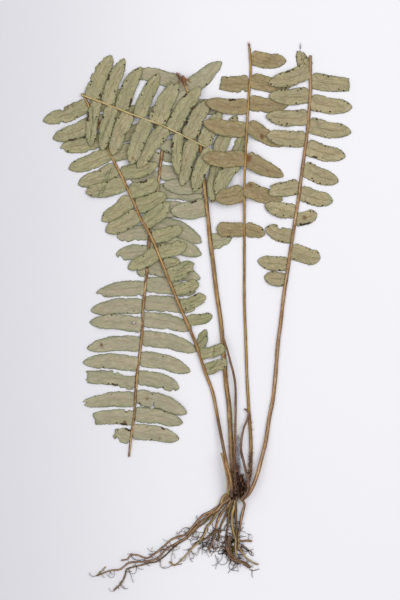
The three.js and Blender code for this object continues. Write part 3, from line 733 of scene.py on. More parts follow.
def add_tube(mesh: Mesh, centres: Array, widths: Array, depths: Array, section: Array, key: float,
             tones: Array | float = 0.5, stains: Array | float = 0.0) -> None:
    """Adds a closed tube.

    Args:
        mesh: Where it goes.
        centres: The points that it runs through.
        widths: Its width at each.
        depths: Its height at each.
        section: Its section, from -1 to 1 both ways.
        key: Sets its pattern apart from others.
        tones: Its tone at each point.
        stains: How stained it is at each point.
    """
    girth, under, shaded_flank = 1.5, 0.4, 0.62
    along = unit(np.gradient(centres, axis=0))
    sideways = -to_left(along)
    flat = np.linalg.norm(sideways, axis=1, keepdims=True)
    sideways = np.where(flat > UPRIGHT, sideways / np.maximum(flat, UPRIGHT), (1.0, 0.0, 0.0))
    upward = np.cross(sideways, along)
    ring = section * np.stack([widths, depths], axis=1)[:, None] / 2
    points = centres[:, None] + ring[..., :1] * sideways[:, None] + ring[..., 1:] * upward[:, None]
    rings, sides = points.shape[:2]
    quads, _ = join_rings(rings, sides)
    fan = np.arange(1, sides - 1)
    caps = [np.stack([0 * fan + ends[0], ends[fan], ends[fan + 1]], axis=1)
            for ends in (np.arange(sides)[::-1], np.arange(sides) + (rings - 1) * sides)]
    toned, stained = (np.asarray(values, float).reshape(-1, 1) for values in (tones, stains))
    # A tube's rim runs across it from one flank to the other, and places the painted shade on a stalk's
    # flanks.
    *places, shade_across, toned, stained = [values.ravel() for values in np.broadcast_arrays(
        reached(centres)[:, None], section[:, 0] * girth + under * np.sign(section[:, 1]), 3.7 * key,
        np.clip(0.5 + shaded_flank * section[:, 0], 0, 1), toned, stained)]
    mesh.add(points.reshape(-1, 3), quads, np.concatenate(caps), np.stack(places, axis=1),
             rim=shade_across, tone=toned, stain=stained)


SCALE_ALONG = np.array([0, 1, 0.3, 0.3, 0.3, 0.3])
SCALE_ACROSS = np.array([0, 0, 1, -1, 0, 0])
SCALE_RISE = np.array([0, 0, 0, 0, 0.06, -0.06])
SCALE_FACES = np.array([[0, 2, 4], [2, 1, 4], [1, 3, 4], [3, 0, 4],
                        [2, 0, 5], [1, 2, 5], [3, 1, 5], [0, 3, 5]])


def add_scales(mesh: Mesh, roots: Array, directions: Array, normals: Array, lengths: Array, widths: Array,
               tones: Array) -> None:
    """Adds flat pointed scales, each a thin closed shell.

    Args:
        mesh: Where they go.
        roots: Where each one grows.
        directions: Where each one points.
        normals: Which way each one faces.
        lengths: How long each one is.
        widths: How wide each one is.
        tones: The tone of each one.
    """
    directions = unit(directions)
    across = unit(np.cross(directions, normals))
    facing = np.cross(across, directions)
    along, sides = np.outer(lengths, SCALE_ALONG), np.outer(widths, SCALE_ACROSS)
    corners = roots[:, None] + directions[:, None] * along[..., None]
    corners = corners + across[:, None] * sides[..., None] / 2 + facing[:, None] * SCALE_RISE[:, None]
    number = np.arange(len(roots))[:, None]
    places = np.stack([along, sides, np.broadcast_to(1.7 * number, along.shape)], axis=-1)
    faces = SCALE_FACES + len(SCALE_ALONG) * number[..., None]
    mesh.add(corners.reshape(-1, 3), np.zeros((0, 4)), faces, places.reshape(-1, 3),
             tone=np.repeat(tones, len(SCALE_ALONG)))


DOT_SIDES = 7
DOT_RINGS = ((1.0, -0.12), (0.82, 0.14), (0.4, 0.26))
DOT_TOP = 0.3


def add_dot(mesh: Mesh, point: Array, radius: float, key: float) -> None:
    """Adds a low closed dome that sits in a surface.

    Args:
        mesh: Where it goes.
        point: The point of the surface under its middle.
        radius: Its radius.
        key: Sets its shape and tone apart from others.
    """
    roughness = 0.25
    angles = circle(DOT_SIDES)
    outline = compass(angles) * (radius * (1 + roughness * (draw(key + angles) - 0.5)))[:, None]
    rings = [np.column_stack([outline * share, 0 * angles + rise]) for share, rise in DOT_RINGS]
    points = np.concatenate([*rings, [[0, 0, DOT_TOP], [0, 0, DOT_RINGS[0][1]]]]) + point
    places = np.column_stack([points[:, :2], np.full(len(points), 2.3 * key)])
    mesh.add(points, *join_rings(len(DOT_RINGS), DOT_SIDES), places, tone=draw(key + 0.5))


def add_thread(mesh: Mesh, start: Array, heading: float, length: float, width: float, curl: float,
               key: float, lift: float = 0.0, ground: float = 0.12, tone: float = 0.5,
               bend: float = 2.4) -> Array:
    """Adds a thin curling thread, such as a hair or a rootlet.

    Args:
        mesh: Where it goes.
        start: Where it grows.
        heading: The angle in which it sets out.
        length: How long it is.
        width: How thick it is at its start.
        curl: How far it turns at each step.
        key: Sets its path apart from others.
        lift: How far its middle rises.
        ground: The lowest height of its centre.
        tone: Its tone.
        bend: The length over which its turning changes.

    Returns:
        The points of its centre.
    """
    step, drift, thinning = 1.1, 0.3, 0.45
    steps = max(4, round(length / step))
    turns = ripple(np.arange(steps) * length / steps, key, bend) + drift * (2 * draw(key + 4) - 1)
    path = np.cumsum(compass(heading + np.cumsum(curl * turns)), axis=0) * (length / steps)
    flat = start[:2] + np.vstack([[0, 0], path])
    share = np.linspace(0, 1, steps + 1)
    height = start[2] * (1 - share) + ground * share + lift * np.sin(math.pi * share)
    centres = np.column_stack([flat, np.maximum(height, ground)])
    widths = width * (1 - thinning * share)
    add_tube(mesh, centres, widths, widths, round_section(4), key, tone)
    return centres


# ---------------------------------------------------------------------------
# Routes, and the pile of what has been laid
# ---------------------------------------------------------------------------


class Route:
    """A smooth line through a few points, with places measured along it."""

    STEPS = 24
    HEADING_REACH = 0.4

    def __init__(self, points: Sequence[Pair]) -> None:
        """Args:
            points: The points that the line passes through.
        """
        given = np.array(points, float)
        ends = np.vstack([2 * given[0] - given[1], given, 2 * given[-1] - given[-2]])
        share = np.linspace(0, 1, self.STEPS, endpoint=False)[:, None]
        spans = [self._span(*ends[i:i + 4], share) for i in range(len(given) - 1)]
        self.points = np.vstack([*spans, given[-1:]])
        self.places = reached(self.points)
        self.length = float(self.places[-1])

    @staticmethod
    def _span(before: Array, start: Array, end: Array, after: Array, share: Array) -> Array:
        """Returns the points of one span, by shares of it."""
        gaps = [math.sqrt(np.linalg.norm(b - a)) for a, b in ((before, start), (start, end), (end, after))]
        leave = (start - before) / gaps[0] - (end - before) / (gaps[0] + gaps[1]) + (end - start) / gaps[1]
        arrive = (end - start) / gaps[1] - (after - start) / (gaps[1] + gaps[2]) + (after - end) / gaps[2]
        leave, arrive = leave * gaps[1], arrive * gaps[1]
        square, cube = share**2, share**3
        return ((2 * cube - 3 * square + 1) * start + (cube - 2 * square + share) * leave
                + (3 * square - 2 * cube) * end + (cube - square) * arrive)

    def at(self, places: Array | float) -> Array:
        """Returns the points at places along the line."""
        return follow(places, self.places, self.points)

    def heading(self, place: float) -> float:
        """Returns the angle in which the line runs at a place."""
        ahead, behind = min(place + self.HEADING_REACH, self.length), max(place - self.HEADING_REACH, 0)
        step = self.at(ahead) - self.at(behind)
        return math.atan2(step[1], step[0])


LAYER_GAP = 0.35
BLADE_ROOM = 0.62
WAVE_RISE = 0.3
CLIMB_LIMIT = 0.45
DROOP_SLOPE = 0.22
STALK_CLIMB_LIMIT = 0.13
STALK_STATION = 13.0
STALK_FLATNESS = 0.68
STALK_LIFT = 0.1


class Pile:
    """How high the laid pieces reach over each small cell of the floor."""

    CELL = 0.5
    MARGIN = 0.375
    LOW = np.array([-150.0, -20.0])
    SIZE = (270, 400)

    def __init__(self) -> None:
        """Starts with a bare floor."""
        self.heights = np.full((round(self.SIZE[1] / self.CELL), round(self.SIZE[0] / self.CELL)),
                               -LAYER_GAP)

    def _strip(self, start: Array, end: Array, half_width: float) -> tuple[Window, Array, Array]:
        """Returns a window of cells, which of them lie under a strip, and how far along it they are."""
        reach = half_width + self.MARGIN
        length = max(float(np.linalg.norm(end - start)), TINY)
        along = (end - start) / length
        low = np.floor((np.minimum(start, end) - reach - self.LOW) / self.CELL).astype(int)
        high = np.ceil((np.maximum(start, end) + reach - self.LOW) / self.CELL).astype(int) + 1
        low = np.maximum(low, 0)
        x = self.LOW[0] + (np.arange(low[0], high[0]) + 0.5) * self.CELL - start[0]
        y = (self.LOW[1] + (np.arange(low[1], high[1]) + 0.5) * self.CELL - start[1])[:, None]
        forward = x * along[0] + y * along[1]
        sideways = np.abs(y * along[0] - x * along[1])
        inside = (forward >= -self.MARGIN) & (forward <= length + self.MARGIN) & (sideways <= reach)
        window = (slice(low[1], high[1]), slice(low[0], high[0]))
        rows, columns = self.heights[window].shape
        return window, inside[:rows, :columns], np.clip(forward / length, 0, 1)[:rows, :columns]

    def clearance(self, points: Array, half_widths: Array, lift: float = 0.0) -> Array:
        """Returns how high each station of a strip has to lie to clear the pile.

        Args:
            points: The stations.
            half_widths: Half the strip's width at each.
            lift: How much of the gap is already there.
        """
        heights = np.zeros(len(points))
        for i, half_width in enumerate(np.maximum(half_widths[:-1], half_widths[1:])):
            window, inside, _ = self._strip(points[i], points[i + 1], half_width)
            top = float(np.max(self.heights[window], where=inside, initial=-LAYER_GAP))
            heights[i:i + 2] = np.maximum(heights[i:i + 2], top + LAYER_GAP - lift)
        return heights

    def cover(self, points: Array, half_widths: Array, tops: Array) -> None:
        """Raises the pile to a strip's tops at its stations."""
        for i, half_width in enumerate(np.maximum(half_widths[:-1], half_widths[1:])):
            window, inside, share = self._strip(points[i], points[i + 1], half_width)
            under = self.heights[window]
            top = tops[i] + (tops[i + 1] - tops[i]) * share
            self.heights[window] = np.where(inside, np.maximum(under, top), under)

    def height_at(self, point: Array) -> float:
        """Returns the height of the pile at a point, or that of the floor."""
        cell = np.floor((point - self.LOW) / self.CELL).astype(int)
        column, row = np.clip(cell, 0, np.array(self.heights.shape[::-1]) - 1)
        return max(float(self.heights[row, column]), 0.0)


def limit_slope(heights: Array, places: Array, limit: float) -> None:
    """Lifts heights in place until no step is steeper than the limit."""
    for i in range(1, len(heights)):
        heights[i] = max(heights[i], heights[i - 1] - limit * (places[i] - places[i - 1]))
    for i in range(len(heights) - 2, -1, -1):
        heights[i] = max(heights[i], heights[i + 1] - limit * (places[i + 1] - places[i]))


# ---------------------------------------------------------------------------
# Leaflets
# ---------------------------------------------------------------------------


@dataclass(frozen=True)
class Bite:
    """A missing bit of a leaflet's margin: where, on which edge, how deep and how long."""

    share: float
    edge: int
    depth: float
    reach: float


@dataclass(frozen=True)
class Odd:
    """What sets one leaflet of a row apart.

    A hole is a share of the length, a distance to the left and a radius. A stain has a strength too.
    A crease runs from one share and distance to another.
    """

    tip: Tip = Tip.ROUND
    sweep: float | None = None
    bites: tuple[Bite, ...] = ()
    holes: tuple[Triple, ...] = ()
    shift: float = 0.0
    taper: float | None = None
    stains: tuple[tuple[float, float, float, float], ...] = ()
    creases: tuple[tuple[float, float, float, float], ...] = ()


@dataclass(frozen=True)
class Row:
    """Leaflets along one side of a run, spread evenly from one place to another.

    Lengths, leans from the stalk in degrees, and widths are spread over the row too.
    """

    side: Side
    start: float
    end: float
    count: int
    lengths: tuple[float, ...]
    leans: tuple[float, ...]
    widths: tuple[float, ...] = (11.6,)
    odd: dict[int, Odd] = field(default_factory=dict)
    tone: float = 0.35
    taper: float = 0.48
    crenate: float = 0.4
    ragged: float = 0.4


class Leaflet:
    """One leaflet: its coarse stations carry it over the pile, and its blade is fine.

    A height in a constant comes before the distances over which it changes. A tipward edge looks to the
    frond's tip, and a crownward one to the crown: each has its stretch of the taper and its lobe.
    """

    TONE_SPAN = 0.35
    SWEEP = 18.0
    PLACE_KEYS, LEFT_KEY = 977, 5000
    ROOT_WIDTH, SHOULDER_WIDTH = 0.42, 0.92
    SHOULDER, SHOULDER_RISE, FULL_RISE = 2.0, 1.5, 3.0
    TIP_END_WIDTH, TIP_FULLNESS, TIP_CROWDING = 0.16, 0.58, 1.15
    LONGEST_TAPER = 0.95
    END_TAPER = {Tip.TORN: 0.35, Tip.CUT: 0.2}
    END_TEAR = {Tip.TORN: 0.16, Tip.CUT: 0.05}
    END_FRINGE = 0.02
    TIPWARD, CROWNWARD = (0.72, 0.12), (1.15, -0.04)
    LOBE_RISE, LOBE_FALL = 2.0, 9.0
    SCALLOP_LENGTHS, SCALLOP_POWER, SCALLOP_DRIFT, SCALLOP_DRIFTS = (2.9, 0.6), 0.6, 0.25, 4.0
    FINE_START, FINE_END = 3.0, 5.0
    WEAR = ((0.3, 1.2, 0), (0.75, 5.5, 9), (0.35, 2.3, 15))
    NICK_LENGTH, NICK_LEAST, NICK_DEPTH = 1.9, 0.62, 2.4
    BITE_REACH, BITE_WAVER = 1.25, ((0.3, 0.9, 23),)
    HOLE_WAVER, HOLE_GRAIN = 0.3, 9.0
    STAIN_REACH, STAIN_WAVER, STAIN_WAVERS = 1.5, 0.3, (1.5, 1.5)
    LEAST_HALF_WIDTH = 0.06
    STATION = 4.0
    THICKNESS = 0.24
    COLUMNS = 13
    LEAST_ROWS, ROW_LENGTH, ROW_CROWDING = 16, 0.72, 1.35
    ARCH, ARCH_POWER = (0.04, 0.18), 2.5
    BUCKLE, BUCKLES, BUCKLE_SPREAD = 0.24, (9.0, 5.0), (0.3, 0.7)
    RIDGE, RIDGES, RIDGE_SHARPNESS, RIDGE_SLANT = 0.13, (12.0, 3.8), 2.4, 0.8
    PUCKER, PUCKERS = 0.08, (2.6, 2.1)
    FLUTTER, FLUTTERS = 0.2, 4.4
    FOLDS, FOLD, FOLD_BALANCE, FOLD_WIDTH, FOLD_SPREAD = 2, 0.34, 0.45, 1.3, 0.75
    FOLD_WAVER, FOLD_WAVERS = 1.6, 13.0
    MIDRIB, LINE_WIDTH, MIDRIB_END, MIDRIB_FADE = 0.16, 0.7, 0.86, 8.0
    CREASE = 0.35
    CREASE_RIM, CREASE_RIM_DEPTH, CREASE_LEAST = 1.1, 0.85, 0.01

    def __init__(self, route: Route, row: Row, index: int) -> None:
        """Works out where one leaflet of a row runs.

        Args:
            route: The stalk's line.
            row: The leaflet's row.
            index: Its number in the row.
        """
        share = index / (row.count - 1) if row.count > 1 else 0.0
        self.odd = row.odd.get(index, Odd())
        self.side = row.side.value
        self.place = min(row.start + (row.end - row.start) * share + self.odd.shift, route.length)
        self.width = float(spread(row.widths, share))
        self.length = float(spread(row.lengths, share))
        self.key = round(self.place * 10) % self.PLACE_KEYS + round(self.length * 7)
        self.key += self.LEFT_KEY if row.side is Side.LEFT else 0
        self.root = route.at(self.place)
        self.heading = route.heading(self.place) + self.side * math.radians(float(spread(row.leans, share)))
        self.sweep = math.radians(self.SWEEP if self.odd.sweep is None else self.odd.sweep)
        self.taper = row.taper if self.odd.taper is None else self.odd.taper
        self.tone, self.crenate, self.ragged = row.tone, row.crenate, row.ragged
        steps = max(4, round(self.length / self.STATION))
        to_tip = (1 - np.arange(steps) / steps) ** self.TIP_CROWDING
        shares = np.concatenate([[0], 1 - (1 - self.SHOULDER / self.length) * to_tip, [1]])
        self.points = self._line(shares)
        self.places = shares * self.length
        self.half_widths = self._plain_width(shares) * 0.5 * self.width
        self.half_widths[:2] = 0.5 * self.width * np.array([self.ROOT_WIDTH, self.SHOULDER_WIDTH])
        self.heights = np.zeros(len(shares))

    def _line(self, shares: Array) -> Array:
        """Returns the points of the centre line at shares of its length."""
        middles = (shares[1:] + shares[:-1]) / 2
        directions = self.heading + self.side * self.sweep * (0.5 - middles)
        steps = np.diff(shares)[:, None] * self.length * compass(directions)
        return self.root + np.vstack([[0, 0], np.cumsum(steps, axis=0)])

    def _plain_width(self, shares: Array, stretch: float = 1.0) -> Array:
        """Returns the width at shares of the length, as a share of the full one, with no scallops.

        Args:
            shares: Where along the leaflet.
            stretch: How much longer than usual the tapering part is.
        """
        taper = min(self.taper * stretch, self.LONGEST_TAPER)
        tip = np.clip((shares - (1 - taper)) / taper, 0, 1)
        if self.odd.tip is Tip.ROUND:
            return np.maximum(self.TIP_END_WIDTH, (1 - tip * tip) ** self.TIP_FULLNESS)
        return 1 - self.END_TAPER[self.odd.tip] * tip

    def clear_heights(self, pile: Pile) -> Array:
        """Returns the height that each station needs to clear what lies beneath it."""
        heights = pile.clearance(self.points, self.half_widths)
        limit_slope(heights, self.places, CLIMB_LIMIT)
        return heights

    def settle(self, root_height: float, pile: Pile) -> None:
        """Lets the leaflet sink from its stalk to what it lies on."""
        self.heights = np.maximum(self.clear_heights(pile), root_height - DROOP_SLOPE * self.places)
        self.heights[0] = root_height

    def raise_pile(self, pile: Pile) -> None:
        """Adds the leaflet to the pile."""
        pile.cover(self.points, self.half_widths, self.heights + BLADE_ROOM + WAVE_RISE)

    def _edge(self, shares: Array, edge: int) -> Array:
        """Returns the half width along one edge, with its scallops, its wear and its bites."""
        along = shares * self.length
        key = self.key + 71 * edge
        width = self.ROOT_WIDTH + (self.SHOULDER_WIDTH - self.ROOT_WIDTH) * ease(along / self.SHOULDER_RISE)
        width = width + (1 - self.SHOULDER_WIDTH) * ease((along - self.SHOULDER_RISE) / self.FULL_RISE)
        stretch, lobe = self.TIPWARD if edge * self.side < 0 else self.CROWNWARD
        lobe = lobe * ease(along / self.LOBE_RISE) * ease((0.5 * self.length - along) / self.LOBE_FALL)
        width = np.minimum(width, self._plain_width(shares, stretch)) + lobe
        phase = along / drawn(self.SCALLOP_LENGTHS, key) + draw(key + 3)
        phase = phase + self.SCALLOP_DRIFT * ripple(along, key + 29, self.SCALLOP_DRIFTS)
        scallop = 0.5 - np.abs(np.sin(math.pi * phase)) ** self.SCALLOP_POWER
        wear = waves(along, key, self.WEAR)
        nicks = np.maximum(0, ripple(along, key + 17, self.NICK_LENGTH) - self.NICK_LEAST) * self.NICK_DEPTH
        fine = ease((self.length - along) / self.FINE_END) * ease(along / self.FINE_START)
        half = 0.5 * self.width * width + fine * (-self.crenate * scallop + self.ragged * wear - nicks)
        for bite in self.odd.bites:
            if bite.edge == edge:
                gone = ease(self.BITE_REACH - np.abs(along - bite.share * self.length) / bite.reach)
                half = half - bite.depth * gone * (1 + waves(along, key, self.BITE_WAVER))
        return np.maximum(half, self.LEAST_HALF_WIDTH)

    def _rise(self, along: Array, across: Array, share_across: Array, creased: Array) -> Array:
        """Returns how far each point of the blade rises above its lowest layer."""
        key = self.key
        inside = 1 - np.abs(share_across) ** self.ARCH_POWER
        buckles = self.BUCKLE_SPREAD[0] + self.BUCKLE_SPREAD[1] * inside
        buckles = buckles * (1 + patches(along, across, key, self.BUCKLES))
        ridges = np.abs(patches(along + self.RIDGE_SLANT * across, across, key + 300, self.RIDGES))
        rise = self.ARCH[0] + self.ARCH[1] * inside + self.BUCKLE * buckles
        rise = rise + self.RIDGE * (1 - self.RIDGE_SHARPNESS * ridges) * inside
        rise = rise + self.PUCKER * patches(along, across, key + 500, self.PUCKERS)
        flutters = ripple(along, key + np.sign(share_across), self.FLUTTERS)
        rise = rise + self.FLUTTER * np.abs(share_across) ** 3 * flutters
        for number in range(self.FOLDS):
            line = (draw(key + 40 + number) - 0.5) * self.FOLD_SPREAD * self.width
            line = line + self.FOLD_WAVER * ripple(along, key + 60 + number, self.FOLD_WAVERS)
            height = self.FOLD * (draw(key + 50 + number) - self.FOLD_BALANCE)
            rise = rise + height * np.maximum(0, 1 - np.abs(across - line) / self.FOLD_WIDTH)
        midrib = np.exp(-(across / self.LINE_WIDTH) ** 2)
        midrib = midrib * ease((self.length * self.MIDRIB_END - along) / self.MIDRIB_FADE)
        rise = rise - self.MIDRIB * midrib - self.CREASE * creased
        return np.clip(rise, 0.0, BLADE_ROOM + WAVE_RISE - self.THICKNESS)

    def _crease_mask(self, along: Array, across: Array) -> Array:
        """Returns how deep in its own sharp creases each point of the blade lies, from 0 to 1."""
        mask = np.zeros_like(along)
        for first, off, second, far in self.odd.creases:
            start = np.array([first * self.length, off])
            way = np.array([second * self.length, far]) - start
            ahead = (along - start[0]) * way[0] + (across - start[1]) * way[1]
            share = np.clip(ahead / (way @ way), 0, 1)
            apart = np.hypot(along - start[0] - share * way[0], across - start[1] - share * way[1])
            mask = np.maximum(mask, np.exp(-(apart / self.LINE_WIDTH) ** 2))
        return mask

    def _stain_mask(self, along: Array, across: Array) -> Array:
        """Returns how stained each point of the blade is, from 0 to 1."""
        mask = np.zeros_like(along)
        for share, off, radius, strength in self.odd.stains:
            ragged = self.STAIN_WAVER * radius * patches(along, across, share, self.STAIN_WAVERS)
            apart = np.hypot(along - share * self.length, across - off) + ragged
            mask = np.maximum(mask, strength * ease(self.STAIN_REACH - apart / radius))
        return mask

    def add_blade(self, mesh: Mesh) -> None:
        """Adds the fine blade, a thin closed shell, to a mesh."""
        rows = max(self.LEAST_ROWS, round(self.length / self.ROW_LENGTH))
        whole = self.odd.tip is Tip.ROUND
        shares = 1 - (1 - np.linspace(0, 1, rows)) ** (self.ROW_CROWDING if whole else 1.0)
        columns = np.linspace(-1, 1, self.COLUMNS)
        torn = np.ones(self.COLUMNS)
        if not whole:
            torn = torn - self.END_TEAR[self.odd.tip] * (1 + ripple(columns * 4, self.key + 5, 1.0)) / 2
            torn = torn - self.END_FRINGE * draw(self.key + 7 * columns)
        centre = self._line(shares)
        leftward = to_left(unit(np.gradient(centre, axis=0)))[:, None, :2]
        cut = shares[:, None] * torn
        half = np.where(columns > 0, self._edge(shares, 1)[:, None], self._edge(shares, -1)[:, None])
        along, across = cut * self.length, half * columns
        flat = follow(cut, shares, centre) + leftward * across[..., None]
        base = np.apply_along_axis(soften, 0, np.interp(along, self.places, self.heights), 3)
        creased = self._crease_mask(along, across)
        top = base + self._rise(along, across, columns[None, :], creased) + self.THICKNESS
        self.surface = np.concatenate([flat, top[..., None]], axis=-1)
        rim = np.minimum((1 - np.abs(columns)) * half, (torn - cut) * self.length)
        sunk = np.minimum(rim, self.CREASE_RIM - self.CREASE_RIM_DEPTH * creased)
        self.rim = np.where(sunk < self.CREASE_RIM - self.CREASE_LEAST, sunk, rim)
        self._add_shell(mesh, along, across)

    def _add_shell(self, mesh: Mesh, along: Array, across: Array) -> None:
        """Closes the blade's upper surface with a lower one and a rim, round its holes too."""
        rows, columns = along.shape
        kept = np.ones((rows - 1, columns - 1), bool)
        for share, off, radius in self.odd.holes:
            apart = np.hypot((along[1:, 1:] + along[:-1, :-1]) / 2 - share * self.length,
                             (across[1:, 1:] + across[:-1, :-1]) / 2 - off)
            kept &= apart > radius * (1 + self.HOLE_WAVER * draw(np.round(apart * self.HOLE_GRAIN)))
        count = along.size
        index = np.arange(count).reshape(rows, columns)
        cells = np.stack([index[:-1, :-1], index[1:, :-1], index[1:, 1:], index[:-1, 1:]], axis=-1)[kept]
        padded = np.pad(kept, 1)
        crosswise = padded[1:, 1:-1] != padded[:-1, 1:-1]
        lengthwise = padded[1:-1, 1:] != padded[1:-1, :-1]
        walls = [np.stack([a, b, b + count, a + count], axis=1) for a, b in (
            (index[:, :-1][crosswise], index[:, 1:][crosswise]),
            (index[:-1, :][lengthwise], index[1:, :][lengthwise]))]
        faces = np.concatenate([cells, cells[:, ::-1] + count, *walls])
        used, quads = np.unique(faces, return_inverse=True)
        lower = self.surface - self.THICKNESS * UPWARD
        points = np.concatenate([self.surface.reshape(-1, 3), lower.reshape(-1, 3)])[used]
        above = used % count
        along, across = along.ravel()[above], across.ravel()[above]
        places = np.stack([along, across, np.full(len(used), 1.9 * (self.key % 211))], axis=1)
        tone = np.clip(self.tone + self.TONE_SPAN * (draw(self.key + 11) - 0.5), 0, 1)
        mesh.add(points, quads, np.zeros((0, 3)), places, rim=self.rim.ravel()[above], tone=tone,
                 share=along / self.length, stain=self._stain_mask(along, across))

    def margin_streak(self, key: float) -> Array:
        """Returns points in a short file along one margin, nearer the root than the tip."""
        start, span, least, more = 0.06, 0.5, 2, 7
        first = int((start + span * draw(self.key + key)) * len(self.surface))
        last = first + least + int(more * draw(self.key + key + 2.1))
        return self.surface[first:last, 1 if draw(self.key + key + 5.3) < 0.5 else -2]

    def near_margin(self, count: int, key: float, inset: float) -> Array:
        """Returns points of the upper surface near the margins.

        Args:
            count: How many points.
            key: Sets them apart from others.
            inset: How far they lie from the margin.

        Returns:
            The points, one in each row.
        """
        start, span = 0.1, 0.85
        found = []
        for number in range(count):
            draws = [draw(self.key + key + 13.1 * number + step) for step in (0.0, 2.3, 4.9)]
            row = int((start + span * draws[0]) * (len(self.surface) - 1))
            columns = np.where(self.rim[row] >= inset * (0.5 + draws[2]))[0]
            if len(columns):
                found.append(self.surface[row, columns[0] if draws[1] < 0.5 else columns[-1]])
        return np.array(found).reshape(-1, 3)


# ---------------------------------------------------------------------------
# Runs: stretches of stalk with their leaflets
# ---------------------------------------------------------------------------


@dataclass
class Run:
    """A stretch of stalk, with its rows of leaflets, that is laid on the pile."""

    route: Sequence[Pair]
    widths: tuple[float, ...]
    rows: tuple[Row, ...] = ()
    seat: float = 0.0
    key: float = 1.0
    dark: tuple[Triple, ...] = ()

    STEP = 2.2
    SECTION = round_section(12, 3, 0.13)
    WAVER = ((0.05, 7.0, 0), (0.04, 2.3, 5))
    NODE_SWELLING, NODE_REACH = 0.22, 1.8
    TONE_PERIOD = 30.0
    DARK_WAVER, DARK_PERIOD = 0.3, 5.0

    def lay(self, pile: Pile) -> None:
        """Lays the run on the pile, and adds it to the pile."""
        self.line = Route(self.route)
        length = self.line.length
        steps = max(3, round(length / STALK_STATION))
        places = np.linspace(0, length, steps + 1)
        points = self.line.at(places)
        half_widths = np.array([float(spread(self.widths, place / length)) for place in places]) / 2
        self.leaflets = [Leaflet(self.line, row, i) for row in self.rows for i in range(row.count)]
        floors = pile.clearance(points, half_widths, STALK_LIFT)
        for leaflet in self.leaflets:
            index = min(int(leaflet.place / length * steps), steps - 1)
            floors[index:index + 2] = np.maximum(floors[index:index + 2], leaflet.clear_heights(pile)[0])
        floors[0] = max(floors[0], self.seat)
        limit_slope(floors, places, STALK_CLIMB_LIMIT)
        self.places, self.middles = places, floors + STALK_LIFT + half_widths * STALK_FLATNESS
        for group in (self.leaflets[::2], self.leaflets[1::2]):
            for leaflet in group:
                leaflet.settle(float(np.interp(leaflet.place, places, floors)), pile)
            for leaflet in group:
                leaflet.raise_pile(pile)
        pile.cover(points, half_widths, self.middles + half_widths * STALK_FLATNESS)

    def fine_line(self) -> tuple[Array, Array, Array]:
        """Returns close places along the run, the centre of the stalk there, and its width."""
        places = np.linspace(0, self.line.length, max(4, round(self.line.length / self.STEP)))
        height = soften(np.interp(places, self.places, self.middles), 3)
        widths = spread(self.widths, places / self.line.length) * (1 + waves(places, self.key, self.WAVER))
        for leaflet in self.leaflets:
            apart = (places - leaflet.place) / self.NODE_REACH
            widths = widths + self.NODE_SWELLING * np.exp(-apart ** 2)
        return places, np.column_stack([self.line.at(places), height]), widths

    def add_stalk(self, mesh: Mesh) -> None:
        """Adds the ridged stalk, a little swollen at each leaflet, to a mesh."""
        places, centres, widths = self.fine_line()
        tones = 0.5 + 0.5 * ripple(places, self.key + 2, self.TONE_PERIOD)
        stains = 0.0 * places
        for start, end, strength in self.dark:
            reach = (end - start) / 4
            inside = ease((places - start) / reach) * ease((end - places) / reach)
            waver = 1 + self.DARK_WAVER * ripple(places, self.key + 4, self.DARK_PERIOD)
            stains = np.maximum(stains, strength * inside * waver)
        add_tube(mesh, centres, widths, widths * STALK_FLATNESS, self.SECTION, self.key, tones,
                 np.clip(stains, 0, 1))

    def side_points(self, places: Array, offsets: Array, lift: Array) -> tuple[Array, Array]:
        """Returns points on the stalk.

        Args:
            places: Where along the run.
            offsets: How far to the left, as shares of the half width.
            lift: How high over the middle, as shares of the half depth.

        Returns:
            The points, and the way the stalk runs at each.
        """
        fine, centres, widths = self.fine_line()
        ahead = unit(follow(places, fine, np.gradient(centres, axis=0)))
        half = np.interp(places, fine, widths) / 2
        points = follow(places, fine, centres) + to_left(ahead) * (offsets * half)[:, None]
        points[:, 2] += lift * half * STALK_FLATNESS
        return points, ahead


